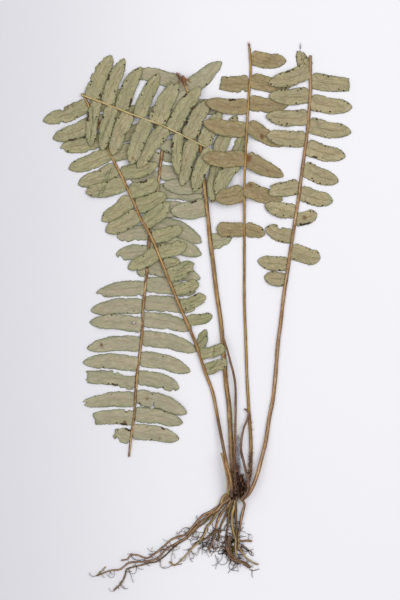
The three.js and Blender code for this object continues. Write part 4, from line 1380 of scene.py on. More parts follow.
@dataclass
class Frond:
    """A frond: its runs from the crown up, and its finishes.

    Each run has a number of spore dots for each leaflet, and a share of leaflets with a dark streak.
    """

    name: str
    node: str
    slot: Slot
    runs: tuple[Run, ...]
    blade: BladeFinish
    stalks: tuple[StalkFinish, ...]
    dots: tuple[float, ...]
    streaks: tuple[float, ...]

    FOLD_STEPS, FOLD_BULGE, FOLD_WIDTH = 8, 0.9, 1.05
    DOT_INSET = 0.8
    DOT_SIZES, STREAK_SIZES = (0.42, 0.4), (0.5, 0.5)

    def build(self, effects: Effects) -> None:
        """Builds and dresses the frond's pieces."""
        mesh = Mesh(f"{self.name}_leaflets")
        for run in self.runs:
            for leaflet in run.leaflets:
                leaflet.add_blade(mesh)
        mesh.piece(self.blade.material(effects), self.slot, [self.node])
        for run, finish, label in zip(self.runs, self.stalks, ("rachis", "folded_rachis")):
            mesh = Mesh(f"{self.name}_{label}")
            run.add_stalk(mesh)
            if run is not self.runs[0]:
                self._add_fold(mesh)
            mesh.piece(finish.material(effects), Slot.STALK)
        self._build_dots(effects)

    def _add_fold(self, mesh: Mesh) -> None:
        """Adds the short bent stalk that joins the end of the first run to the start of the second."""
        (_, first, first_widths), (_, second, second_widths) = [run.fine_line() for run in self.runs]
        share = np.linspace(0, 1, self.FOLD_STEPS)[:, None]
        bulge = unit(first[-1] - first[-2]) * self.FOLD_BULGE
        centres = first[-1] + (second[0] - first[-1]) * share + bulge * np.sin(math.pi * share)
        widths = first_widths[-1] + (second_widths[0] - first_widths[-1]) * share[:, 0]
        add_tube(mesh, centres, widths * self.FOLD_WIDTH, widths * STALK_FLATNESS, Run.SECTION,
                 self.runs[0].key + 8)

    def _build_dots(self, effects: Effects) -> None:
        """Builds the dark spore dots near the margins, and streaks of them, as one piece."""
        roots, sizes = [], []
        for run, each, streaked in zip(self.runs, self.dots, self.streaks):
            for leaflet in run.leaflets:
                if draw(leaflet.key + 77.7) < streaked:
                    roots.append(leaflet.margin_streak(8.8))
                    sizes.append(drawn(self.STREAK_SIZES, leaflet.key + 3.7 * np.arange(len(roots[-1]))))
                count = int(each + draw(leaflet.key + 91) * each)
                roots.append(leaflet.near_margin(count, 3.3, self.DOT_INSET))
                sizes.append(drawn(self.DOT_SIZES, leaflet.key + 7 * np.arange(len(roots[-1]))))
        mesh = Mesh(f"{self.name}_spore_dots")
        for number, (point, size) in enumerate(zip(np.concatenate(roots), np.concatenate(sizes))):
            add_dot(mesh, point, float(size), number)
        mesh.piece(SPORE_DOTS.material(effects), self.slot)


@dataclass
class BareStalk:
    """A stalk that has lost its leaflets, or hasn't opened them yet."""

    name: str
    run: Run
    finish: StalkFinish

    def build(self, effects: Effects) -> None:
        """Builds and dresses the stalk."""
        mesh = Mesh(f"{self.name}_bark")
        self.run.add_stalk(mesh)
        mesh.piece(self.finish.material(effects), Slot.STALK, [self.name])


# ---------------------------------------------------------------------------
# The roots, the crown, scales and fibres
# ---------------------------------------------------------------------------


@dataclass(frozen=True)
class Root:
    """A main root: its route from the crown, and its widths."""

    route: tuple[Pair, ...]
    widths: tuple[float, ...]
    finish: StalkFinish
    strands: int = 0


@dataclass
class Roots:
    """The main roots, which sink from the crown to the floor, with their twisted strands."""

    roots: tuple[Root, ...]
    start_height: float = 4.2
    drop_length: float = 24.0
    reach_of_crown: float = 8.0
    step: float = 1.6

    WAVER = ((0.14, 4.0, 0), (0.1, 1.7, 3))
    SWAY, SWAY_PERIOD, SWAY_START = 0.45, 6.5, 6.0
    HUMP, HUMP_PERIOD, HUMP_START = 0.35, 9.0, 12.0
    FLOOR_GAP, STRAND_FLOOR_GAP = 0.02, 0.05
    TONE_PERIOD = 16.0
    CORE_SHARE = 0.62
    TWIST_LENGTH, TWIST_WAVER = 9.0, ((0.8, 6.0, 0),)
    STRAND_OFFSETS, STRAND_WIDTH, STRAND_WAVER = (0.4, 0.3), 0.34, ((0.2, 3.0, 5),)

    def path(self, number: int) -> tuple[Array, Array, float]:
        """Returns the centres and the widths along one root, and its key."""
        root, key = self.roots[number], 17.0 * (number + 1)
        line = Route(root.route)
        places = np.linspace(0, line.length, max(6, round(line.length / self.step)))
        widths = spread(root.widths, places / line.length) * (1 + waves(places, key, self.WAVER))
        flat = line.at(places)
        sway = self.SWAY * ripple(places, key + 6, self.SWAY_PERIOD) * ease(places / self.SWAY_START)
        flat = flat + to_left(unit(np.gradient(flat, axis=0)))[:, :2] * sway[:, None]
        start = self.start_height if math.hypot(*root.route[0]) < self.reach_of_crown else 0.0
        height = start * np.maximum(0, 1 - places / self.drop_length)
        height = np.maximum(height, 0.5 * widths + self.FLOOR_GAP)
        hump = self.HUMP * (1 + ripple(places, key + 12, self.HUMP_PERIOD)) * ease(places / self.HUMP_START)
        return np.column_stack([flat, height + hump]), widths, key

    def build(self, effects: Effects) -> None:
        """Builds and dresses the roots, one piece for each finish."""
        meshes: dict[StalkFinish, Mesh] = {}
        section = round_section(10, 2, 0.12)
        for number, root in enumerate(self.roots):
            mesh = meshes.setdefault(root.finish, Mesh(root.finish.name.replace("_bark", "s")))
            centres, widths, key = self.path(number)
            tones = 0.5 + 0.5 * ripple(np.arange(len(centres)) * self.step, key + 31, self.TONE_PERIOD)
            core = widths * (self.CORE_SHARE if root.strands else 1.0)
            add_tube(mesh, centres, core, core, section, key, tones)
            for strand in range(root.strands):
                self._add_strand(mesh, centres, widths, key + strand, strand / root.strands, tones)
        for finish, mesh in meshes.items():
            mesh.piece(finish.material(effects), Slot.ROOT, [CROWN_NODE])

    def _add_strand(self, mesh: Mesh, centres: Array, widths: Array, key: float, turn: float,
                    tones: Array) -> None:
        """Adds one of the strands that are twisted round a thick root."""
        places = reached(centres)
        angles = TURN * turn + places / self.TWIST_LENGTH + waves(places, key, self.TWIST_WAVER)
        across, upward = (compass(angles) * widths[:, None] * self.STRAND_OFFSETS).T
        rightward = -to_left(unit(np.gradient(centres, axis=0)))
        strand = centres + rightward * across[:, None] + UPWARD * upward[:, None]
        thick = self.STRAND_WIDTH * widths * (1 + waves(places, key, self.STRAND_WAVER))
        strand[:, 2] = np.maximum(strand[:, 2], thick / 2 + self.STRAND_FLOOR_GAP)
        add_tube(mesh, strand, thick, thick, round_section(7), key, tones)


@dataclass(frozen=True)
class Tangle:
    """A tangle of rootlets: its centre, its half sizes, and how many start there."""

    centre: Pair
    radii: Pair
    count: int


@dataclass
class Rootlets:
    """Fine dark rootlets: some along each main root, and tangles of them round the lower roots."""

    roots: Roots
    finish: ChaffFinish
    tangles: tuple[Tangle, ...]
    per_length: float = 0.11

    FIRST_PLACES, SPREADS = (0.3, 0.7), (0.4, 0.9)
    LENGTHS, WIDTH = (4.0, 10.0), 0.56
    TANGLE_FLOOR, TANGLE_HEIGHT = 0.2, 2.6
    TANGLE_LENGTHS, TANGLE_WIDTH = (7.0, 11.0), 0.64
    THICKNESSES = (0.7, 0.6)
    CURL, LIFT, GROUND, BEND = 0.55, 1.2, 0.25, 6.0
    UNBRANCHED, BRANCH_PLACES, BRANCH_TURN = 0.45, (0.3, 0.5), 1.1
    BRANCH_LENGTH, BRANCH_WIDTH = 0.45, 0.65
    BRANCH_CURL, BRANCH_LIFT, BRANCH_GROUND, BRANCH_BEND = 0.5, 0.3, 0.2, 5.0

    def build(self, effects: Effects) -> None:
        """Builds and dresses the rootlets."""
        mesh = Mesh("rootlets")
        for number in range(len(self.roots.roots)):
            centres, _, _ = self.roots.path(number)
            for each in range(round(self.per_length * len(centres) * self.roots.step)):
                key = 301.0 * number + 7.7 * each
                index = int(drawn(self.FIRST_PLACES, key) * (len(centres) - 2))
                step = centres[index + 1] - centres[index]
                side = 1 if draw(key + 1) > 0.5 else -1
                heading = math.atan2(step[1], step[0]) + side * drawn(self.SPREADS, key + 2)
                self._grow(mesh, centres[index], heading, drawn(self.LENGTHS, key + 3, 2), self.WIDTH, key)
        for number, tangle in enumerate(self.tangles):
            for each in range(tangle.count):
                key = 9001.0 + 517.0 * number + 3.3 * each
                off = math.sqrt(draw(key + 1))
                flat = tangle.centre + np.array(tangle.radii) * off * compass(TURN * draw(key))
                height = self.TANGLE_FLOOR + self.TANGLE_HEIGHT * draw(key + 5) * (1 - off)
                self._grow(mesh, np.array([*flat, height]), TURN * draw(key + 2),
                           drawn(self.TANGLE_LENGTHS, key + 3), self.TANGLE_WIDTH, key)
        mesh.piece(self.finish.material(effects), Slot.ROOT)

    def _grow(self, mesh: Mesh, start: Array, heading: float, length: float, width: float,
              key: float) -> None:
        """Adds one rootlet, with a branch now and then."""
        width = width * drawn(self.THICKNESSES, key + 6)
        tone = draw(key + 9) ** 2
        centres = add_thread(mesh, start, heading, length, width, self.CURL, key, self.LIFT * draw(key + 8),
                             self.GROUND, tone, self.BEND)
        if draw(key + 10) > self.UNBRANCHED:
            index = int(len(centres) * drawn(self.BRANCH_PLACES, key + 11))
            turn = heading + (self.BRANCH_TURN if draw(key + 12) > 0.5 else -self.BRANCH_TURN)
            add_thread(mesh, centres[index], turn, length * self.BRANCH_LENGTH, width * self.BRANCH_WIDTH,
                       self.BRANCH_CURL, key + 41, self.BRANCH_LIFT, self.BRANCH_GROUND, tone,
                       self.BRANCH_BEND)


@dataclass(frozen=True)
class Lump:
    """One lump of the crown: its centre, its half sizes, and how pale its scales are."""

    centre: Triple
    radii: Triple
    tone: float = 0.5


@dataclass
class Crown:
    """The crown: dark lumps under a coat of pointed scales and hairs."""

    lumps: tuple[Lump, ...]
    core: ChaffFinish
    coat: ChaffFinish
    core_share: float = 0.74
    segments: tuple[int, int] = (28, 18)
    scales_per_lump: int = 170
    hairs_per_lump: int = 40

    CORE_TONE = 0.3
    ROUGHNESS, ROUGH_REACH, ROUGH_SLANT, ROUGH_PERIODS = 0.2, 3.0, 2.0, (1.1, 1.3)
    HEIGHTS, LEAST_HEIGHT = (0.05, 0.95), 0.3
    LEAN, LIFT, LIFT_LEAST, HUG = 1.1, 0.3, 0.3, 0.75
    LENGTHS, WIDTHS = (2.4, 4.2), (0.7, 0.8)
    HAIR_SPREAD, HAIR_LENGTHS, HAIR_WIDTH, HAIR_TONES = 2.4, (3.0, 4.0), 0.2, (0.2, 0.6)
    HAIR_CURL, HAIR_LIFT, HAIR_DROP = 0.4, 0.6, 1.0

    def build(self, effects: Effects) -> None:
        """Builds and dresses the lumps and their coat."""
        core, coat = Mesh("crown_core"), Mesh("crown_scales")
        for number, lump in enumerate(self.lumps):
            self._add_lump(core, lump, 50.0 * number)
            self._add_coat(coat, lump, 1000.0 * (number + 1))
        core.piece(self.core.material(effects), Slot.ROOT)
        coat.piece(self.coat.material(effects), Slot.ROOT)

    def _add_lump(self, mesh: Mesh, lump: Lump, key: float) -> None:
        """Adds one rough lump that is flat where it rests."""
        around, levels = self.segments
        tilts, angles = np.meshgrid(math.pi * np.arange(1, levels) / levels, circle(around), indexing="ij")
        turn = patches(np.cos(angles) * self.ROUGH_REACH, np.sin(angles) * self.ROUGH_REACH
                       + tilts * self.ROUGH_SLANT, key, self.ROUGH_PERIODS)
        outward = np.concatenate([np.sin(tilts)[..., None] * compass(angles), np.cos(tilts)[..., None]],
                                 axis=-1)
        outward = outward * (self.core_share * (1 + self.ROUGHNESS * turn))[..., None]
        poles = [-UPWARD * self.core_share, UPWARD * self.core_share]
        points = np.concatenate([outward.reshape(-1, 3), poles]) * lump.radii + lump.centre
        points[:, 2] = np.maximum(points[:, 2], 0.0)
        places = np.column_stack([points[:, :2], np.full(len(points), key)])
        mesh.add(points, *join_rings(levels - 1, around), places, tone=self.CORE_TONE)

    def _add_coat(self, mesh: Mesh, lump: Lump, key: float) -> None:
        """Adds the scales and hairs of one lump."""
        number = np.arange(self.scales_per_lump)
        height = drawn(self.HEIGHTS, key + number)[:, None]
        angle = TURN * draw(key + number * 1.7 + 0.3)
        outward = np.concatenate([np.sqrt(1 - height**2) * compass(angle), height], axis=1)
        roots = outward * self.core_share * np.array(lump.radii) + lump.centre
        roots[:, 2] = np.maximum(roots[:, 2], self.LEAST_HEIGHT)
        normals = unit(outward / np.array(lump.radii))
        lean = math.pi / 2 + self.LEAN * (draw(key + number * 2.9 + 0.7) - 0.5)
        upward = np.column_stack([compass(lean), self.LIFT * (draw(key + number * 3.1) - self.LIFT_LEAST)])
        directions = upward - normals * (self.HUG * np.sum(upward * normals, axis=1))[:, None]
        add_scales(mesh, roots, directions, normals, drawn(self.LENGTHS, key + number * 4.3, 2),
                   drawn(self.WIDTHS, key + number * 5.7), lump.tone * draw(key + number * 6.1) ** 3)
        for hair in range(self.hairs_per_lump):
            start = roots[int(draw(key + 0.37 * hair) * len(number))]
            heading = math.pi / 2 + self.HAIR_SPREAD * (draw(key + 0.61 * hair) - 0.5)
            ground = max(self.LEAST_HEIGHT, start[2] - self.HAIR_DROP)
            add_thread(mesh, start, heading, drawn(self.HAIR_LENGTHS, key + 0.83 * hair), self.HAIR_WIDTH,
                       self.HAIR_CURL, key + hair, self.HAIR_LIFT, ground,
                       drawn(self.HAIR_TONES, key + hair))


@dataclass(frozen=True)
class ChaffPatch:
    """Scales along a stretch of a stalk."""

    run: Run
    start: float
    end: float
    count: int
    length: float
    width: float
    outward: float = 0.5
    sides: Pair = (-1.0, 1.0)

    LEAST_LIFT, SUNK, LOW = 0.04, 0.92, 0.9
    SWINGS, LENGTHS, WIDTHS = (0.4, 1.2), (0.5, 1.0), (0.6, 0.8)
    TILT = 0.12

    def add(self, mesh: Mesh, key: float, _: Pile) -> None:
        """Adds the scales to a mesh."""
        number = np.arange(self.count)
        places = drawn((self.start, self.end - self.start), key + 1.3 * number)
        offsets = drawn((self.sides[0], self.sides[1] - self.sides[0]), key + 2.1 * number)
        lift = np.sqrt(np.maximum(self.LEAST_LIFT, 1 - offsets**2))
        roots, ahead = self.run.side_points(places, offsets * self.SUNK, lift * self.LOW)
        leftward = to_left(ahead)
        normals = leftward * offsets[:, None] + UPWARD * lift[:, None]
        swing = self.outward * drawn(self.SWINGS, key + 3.7 * number) * np.sign(offsets)
        directions = ahead + leftward * swing[:, None] + UPWARD * self.TILT
        add_scales(mesh, roots, directions, normals, self.length * drawn(self.LENGTHS, key + 4.9 * number),
                   self.width * drawn(self.WIDTHS, key + 5.3 * number), draw(key + 6.7 * number))


@dataclass(frozen=True)
class Fray:
    """A tuft of torn fibres at a broken end: where it grows, which way, and how far it fans out."""

    point: Pair
    heading: float
    fan: float
    count: int
    length: float
    width: float
    spot: float = 1.5
    rise: float = 0.4

    AIR = 0.15
    LENGTHS, WIDTHS = (0.4, 0.9), (0.5, 1.0)
    CURL = 0.2

    def add(self, mesh: Mesh, key: float, pile: Pile) -> None:
        """Adds the fibres to a mesh, on top of what lies there."""
        for number in range(self.count):
            seed = key + 5.9 * number
            start = self.point + self.spot * (draw(seed + np.arange(2)) - 0.5) * 2
            heading = math.radians(self.heading + self.fan * (draw(seed + 2) - 0.5))
            length = self.length * drawn(self.LENGTHS, seed + 3)
            ends = (start, start + length * compass(heading))
            low, ground = [pile.height_at(flat) + self.AIR for flat in ends]
            add_thread(mesh, np.array([*start, low]), heading, length,
                       self.width * drawn(self.WIDTHS, seed + 4), self.CURL, seed,
                       self.rise * draw(seed + 5), ground, draw(seed + 6))


@dataclass(frozen=True)
class Fuzz:
    """Short hairs that lie over and among the stipes above the crown."""

    corner: Triple = (1.2, 12.0, 1.2)
    size: Triple = (4.2, 30.0, 2.0)
    count: int = 260
    spread: float = 2.6
    lengths: Pair = (1.5, 2.5)
    width: float = 0.2
    curl: float = 0.7
    lift: float = 0.5
    ground: float = 0.6

    def add(self, mesh: Mesh, key: float, _: Pile) -> None:
        """Adds the hairs to a mesh."""
        for number in range(self.count):
            seed = key + 4.7 * number
            start = self.corner + np.array(self.size) * draw(seed + np.arange(3))
            heading = math.pi / 2 + self.spread * (draw(seed + 3) - 0.5)
            add_thread(mesh, start, heading, drawn(self.lengths, seed + 4), self.width, self.curl, seed,
                       self.lift, self.ground, draw(seed + 5))


@dataclass(frozen=True)
class Chaff:
    """One piece of scales, hairs or fibres: its parts are set apart by a key each."""

    name: str
    finish: ChaffFinish
    slot: Slot
    key: float
    parts: tuple[ChaffPatch | Fray | Fuzz, ...]

    def build(self, effects: Effects, pile: Pile) -> None:
        """Builds and dresses the piece, on top of what lies there."""
        mesh = Mesh(self.name)
        for number, part in enumerate(self.parts):
            part.add(mesh, self.key * (number + 1), pile)
        mesh.piece(self.finish.material(effects), self.slot)


# ---------------------------------------------------------------------------
# The stage
# ---------------------------------------------------------------------------


@dataclass(frozen=True)
class Studio:
    """A pale floor with painted shade that darkens it towards the left, two soft lights and a camera that
    looks straight down.
    """

    floor_side: float = 8.0
    floor_depth: float = 0.0003
    # Painted shade: the floor's colour darkens towards the left, as if the light fell off there.
    floor_shaded_left: Colour = (216, 215, 220)
    floor_lit_right: Colour = (237, 236, 240)
    floor_light_falloff: Pair = (-0.2, 0.0)
    floor_gloss: float = 0.15
    floor_roughness: tuple[float, float, float, float] = (0.2, 0.8, 0.85, 0.95)
    floor_relief: float = 0.05
    lens: float = 100.0
    sensor: float = 36.0
    clip: Pair = (0.05, 30.0)
    camera_place: Triple = (-0.0262, 0.1481, 1.288)
    light_height: float = 1.6
    light_size: float = 1.2
    lights: tuple[tuple[str, float, float, float], ...] = (
        ("light_left", -0.9, 0.25, 7.0), ("light_right", 0.8, 0.5, 14.5))
    sky: tuple[float, float, float, float] = (0.97, 0.97, 0.99, 1.0)
    sky_strength: float = 0.58

    def build(self) -> None:
        """Builds the floor, the lights, the world and the camera."""
        self._build_floor()
        for name, x, y, power in self.lights:
            self._build_light(name, (x, y, self.light_height), power)
        world = bpy.data.worlds.new("soft_room")
        world.use_nodes = True
        background = world.node_tree.nodes["Background"]
        background.inputs["Color"].default_value = self.sky
        background.inputs["Strength"].default_value = self.sky_strength
        scene = bpy.context.scene
        scene.world = world
        scene.view_settings.view_transform = "Standard"
        scene.view_settings.look = "None"
        data = bpy.data.cameras.new("camera")
        data.lens, data.sensor_width = self.lens, self.sensor
        data.clip_start, data.clip_end = self.clip
        scene.camera = self._place("camera", data, self.camera_place)

    @staticmethod
    def _place(name: str, data: bpy.types.ID, place: Sequence[float] = (0.0, 0.0, 0.0)) -> bpy.types.Object:
        """Puts an object in the scene, and returns it."""
        thing = bpy.data.objects.new(name, data)
        thing.location = place
        bpy.context.scene.collection.objects.link(thing)
        return thing

    def _build_floor(self) -> None:
        """Builds the floor, a sheet with a hint of paper tooth, whose colour is painted darker towards the
        left as painted shade.
        """
        half = self.floor_side / 2
        mesh = bpy.data.meshes.new("floor")
        corners = [(-half, -half), (half, -half), (half, half), (-half, half)]
        mesh.from_pydata([(x, y, -self.floor_depth) for x, y in corners], [], [(0, 1, 2, 3)])
        surface = Surface("pale_floor", self.floor_gloss)
        place = surface.node("ShaderNodeNewGeometry").outputs["Position"]
        tooth = surface.noise(place, Pattern.PAPER_TOOTH)
        across = surface.node("ShaderNodeSeparateXYZ", {0: place}).outputs["X"]
        # Painted shade: the floor is painted darker towards the left.
        surface.prime(surface.fade(across, *self.floor_light_falloff), self.floor_shaded_left, self.floor_lit_right)
        roughness = surface.fade(tooth, *self.floor_roughness)
        mesh.materials.append(surface.finish(roughness, tooth, self.floor_relief))
        self._place("floor", mesh)

    def _build_light(self, name: str, place: Triple, power: float) -> None:
        """Builds one soft square light that faces the plant."""
        data = bpy.data.lights.new(name, "AREA")
        data.energy, data.size = power, self.light_size
        light = self._place(name, data, place)
        aim = np.array([self.camera_place[0], self.camera_place[1], 0.0]) - np.array(place)
        light.rotation_euler = Vector(aim).to_track_quat("-Z", "Y").to_euler()

# ---------------------------------------------------------------------------
# The plant's own sizes and finishes
# ---------------------------------------------------------------------------

SPORE_DOTS = ChaffFinish("spore_dots", (34, 24, 16), (78, 56, 34), 0.35)

GREEN_BLADE = BladeFinish("sage_blade", (167, 159, 123), (157, 156, 113), (136, 141, 100), (162, 143, 114),
                          (118, 108, 74))
GREY_BLADE = BladeFinish("grey_blade", (165, 159, 133), (157, 157, 121), (134, 142, 109), (168, 150, 128),
                         (122, 114, 86), blotch_share=0.5, centre_share=0.45, midrib_share=0.28,
                         crease_share=0.2, relief=0.5)
PALE_BLADE = BladeFinish("pale_blade", (170, 159, 124), (162, 155, 116), (144, 142, 101), (166, 145, 113),
                         (120, 108, 74), midrib_share=0.6, crease_share=0.2)
BROWN_BLADE = BladeFinish("brown_blade", (162, 147, 104), (154, 136, 98), (138, 133, 88), (138, 110, 86),
                          (110, 88, 58), (90, 70, 42), (112, 66, 36), 0.3, 0.45, 0.25)

ORANGE_STALK = StalkFinish("orange_rachis", (74, 44, 24), (170, 126, 74), (218, 180, 116), (112, 70, 40),
                           0.35, 0.4, 0.7)
TAN_STALK = StalkFinish("tan_rachis", (92, 70, 32), (192, 168, 108), (232, 216, 158), (128, 102, 54), 0.25,
                        0.3, 0.8)
RUSSET_STALK = StalkFinish("russet_rachis", (56, 34, 22), (150, 110, 70), (216, 184, 130), (96, 60, 40),
                           0.3, 0.8, 0.8, 0.5)
DEAD_BARK = StalkFinish("dead_stalk_bark", (52, 30, 18), (128, 90, 56), (168, 132, 88), (84, 50, 30), 0.35,
                        0.6, 0.9)
BROWN_STALK = StalkFinish("brown_stipe", (68, 42, 20), (174, 132, 76), (216, 182, 120), (106, 68, 36), 0.6,
                          0.45, 0.65)
GOLDEN_STALK = StalkFinish("golden_rachis", (76, 48, 20), (168, 128, 64), (214, 178, 106), (112, 74, 32),
                           0.45, 0.4, 0.7, base=(30, 21, 17))
UMBER_STALK = StalkFinish("umber_rachis", (76, 48, 28), (170, 130, 90), (214, 178, 132), (114, 76, 48), 0.4,
                          0.45, 0.65)
PLUM_STALK = StalkFinish("plum_stalk", (40, 23, 20), (104, 70, 54), (168, 130, 108), (62, 36, 29), 0.4, 0.5,
                         0.9)

ROOTLET_BARK = ChaffFinish("rootlet_bark", (11, 5, 2), (116, 74, 38), 0.1)
CROWN_PITH = ChaffFinish("crown_pith", (6, 2, 2), (18, 9, 8), 0.06)
CROWN_SCALES = ChaffFinish("crown_scales", (30, 15, 12), (204, 154, 122), 0.08)
# Hairs whose blue-grey colour is partly painted shade among the stipes.
FUZZ_AND_SHADE = ChaffFinish("fuzz_and_painted_shade", (84, 84, 94), (188, 192, 204), 0.2)
STALK_CHAFF = ChaffFinish("stalk_chaff", (92, 62, 38), (168, 128, 80))
FRAYED_FIBRE = ChaffFinish("frayed_fibre", (106, 72, 44), (176, 136, 92))
TORN_FIBRE = ChaffFinish("torn_fibre", (78, 46, 26), (176, 118, 72))

LEFT, RIGHT = Side.LEFT, Side.RIGHT
TORN = Odd(tip=Tip.TORN)

FOLDED_BACK_TIP = Run(
    ((-42, 319), (-49, 293), (-55, 264), (-59, 233), (-65, 198), (-67, 171), (-70, 142), (-71, 122),
     (-73, 104), (-75, 88), (-76, 73), (-77, 58), (-79, 45), (-81, 27)),
    (3, 2.8, 2.4, 1.9),
    (
        Row(LEFT, 118, 276, 12, (42, 42, 42, 39, 40, 39, 44, 41, 34, 42, 38, 37),
            (77, 81, 80, 87, 88, 81, 82, 82, 80, 75, 84, 89), (12.4, 12, 11.6, 11.6),
            odd={0: Odd(sweep=32, shift=-5.4), 1: Odd(sweep=28, shift=-4.2), 5: Odd(shift=-1.5, sweep=24),
                 6: Odd(shift=-1.5, sweep=26), 7: Odd(sweep=24),
                 8: Odd(bites=(Bite(0.62, -1, 1.2, 2.2), Bite(0.9, -1, 1.6, 1.4)), sweep=24, taper=0.4),
                 9: Odd(bites=(Bite(0.36, -1, 4.2, 0.9),), stains=((0.22, -0.5, 1.0, 0.8),), sweep=26,
                        shift=0.8),
                 11: Odd(shift=-0.8, sweep=20, stains=((0.3, 3.6, 0.8, 0.5), (0.6, -3.6, 1.1, 0.5)))}),
        Row(RIGHT, 122, 280, 12, (26, 25, 9, 38, 41, 41, 42, 43, 40, 41, 32, 15),
            (73, 82, 95, 78, 80, 91, 78, 84, 92, 80, 81, 93),
            odd={0: Odd(shift=-1.5, bites=(Bite(0.5, 1, 1.2, 2.0), Bite(0.8, 1, 1.4, 1.4))),
                 1: Odd(bites=(Bite(0.88, 1, 3.0, 1.6),)), 2: TORN,
                 3: Odd(bites=(Bite(0.93, 1, 1.8, 2.0), Bite(0.12, 1, 1.5, 2.0)), shift=-0.8, taper=0.62),
                 4: Odd(shift=-1.5, stains=((0.55, -1.0, 0.6, 0.6), (0.18, 3.9, 0.7, 0.7))),
                 5: Odd(holes=((0.17, -0.6, 0.9),), shift=-0.8, stains=((0.17, -0.6, 1.7, 0.6),)),
                 6: Odd(shift=-1.4, creases=((0.74, -2.6, 0.71, 1.8),), stains=((0.73, -0.2, 1.3, 0.8),)),
                 7: Odd(shift=0.6),
                 8: Odd(Tip.CUT, bites=(Bite(0.24, -1, 2.2, 7.0), Bite(0.45, -1, 2.4, 1.6)), shift=0.6),
                 9: Odd(Tip.TORN, bites=(Bite(0.97, 0, 1.0, 1.0),), shift=-1.2, taper=0.5),
                 10: Odd(Tip.CUT, shift=-0.8, bites=(Bite(0.2, -1, 1.4, 1.4),),
                         stains=((0.2, -4.4, 1.2, 0.9), (0.22, 4.0, 1.4, 0.9))),
                 11: Odd(Tip.TORN, bites=(Bite(0.8, 1, 2.2, 2.2),))}),
        Row(LEFT, 59, 103, 4, (34, 35, 36, 33), (84, 86, 91, 97), (11.6, 11.6, 11.6, 12.5)),
        Row(RIGHT, 64, 93, 3, (24, 20), (84, 78)),
    ),
    key=11,
)

MIDDLE_STIPE = Run(
    ((1, -1), (-1, 14), (-2, 32), (-3, 49), (-4, 67), (-6, 82), (-8, 106), (-10.2, 131), (-13.8, 156),
     (-16, 175), (-18, 190), (-19.9, 210), (-21.8, 226), (-23.5, 242), (-26, 268), (-30, 293), (-39, 317)),
    (4.1, 3.9, 3.7, 3.4, 2.9),
    (
        Row(LEFT, 222, 239, 2, (28, 32), (90, 84), (13.6, 12), odd={0: Odd(taper=0.6)}),
        Row(LEFT, 270, 302, 3, (32, 37), (84, 80)),
        Row(LEFT, 309, 309, 1, (26,), (84,)),
        Row(LEFT, 310, 310, 1, (50,), (50,), odd={0: Odd(sweep=-62)}),
        Row(RIGHT, 195, 195, 1, (17,), (83,), (12.5,), {0: Odd(taper=0.85)}, 0.9),
        Row(RIGHT, 300, 300, 1, (37,), (103,)),
        Row(RIGHT, 312.5, 312.5, 1, (35,), (70.6,), (12.8,), {0: Odd(sweep=0, taper=0.66)}),
    ),
    seat=4.5, key=12, dark=((-9, 24, 0.85),),
)

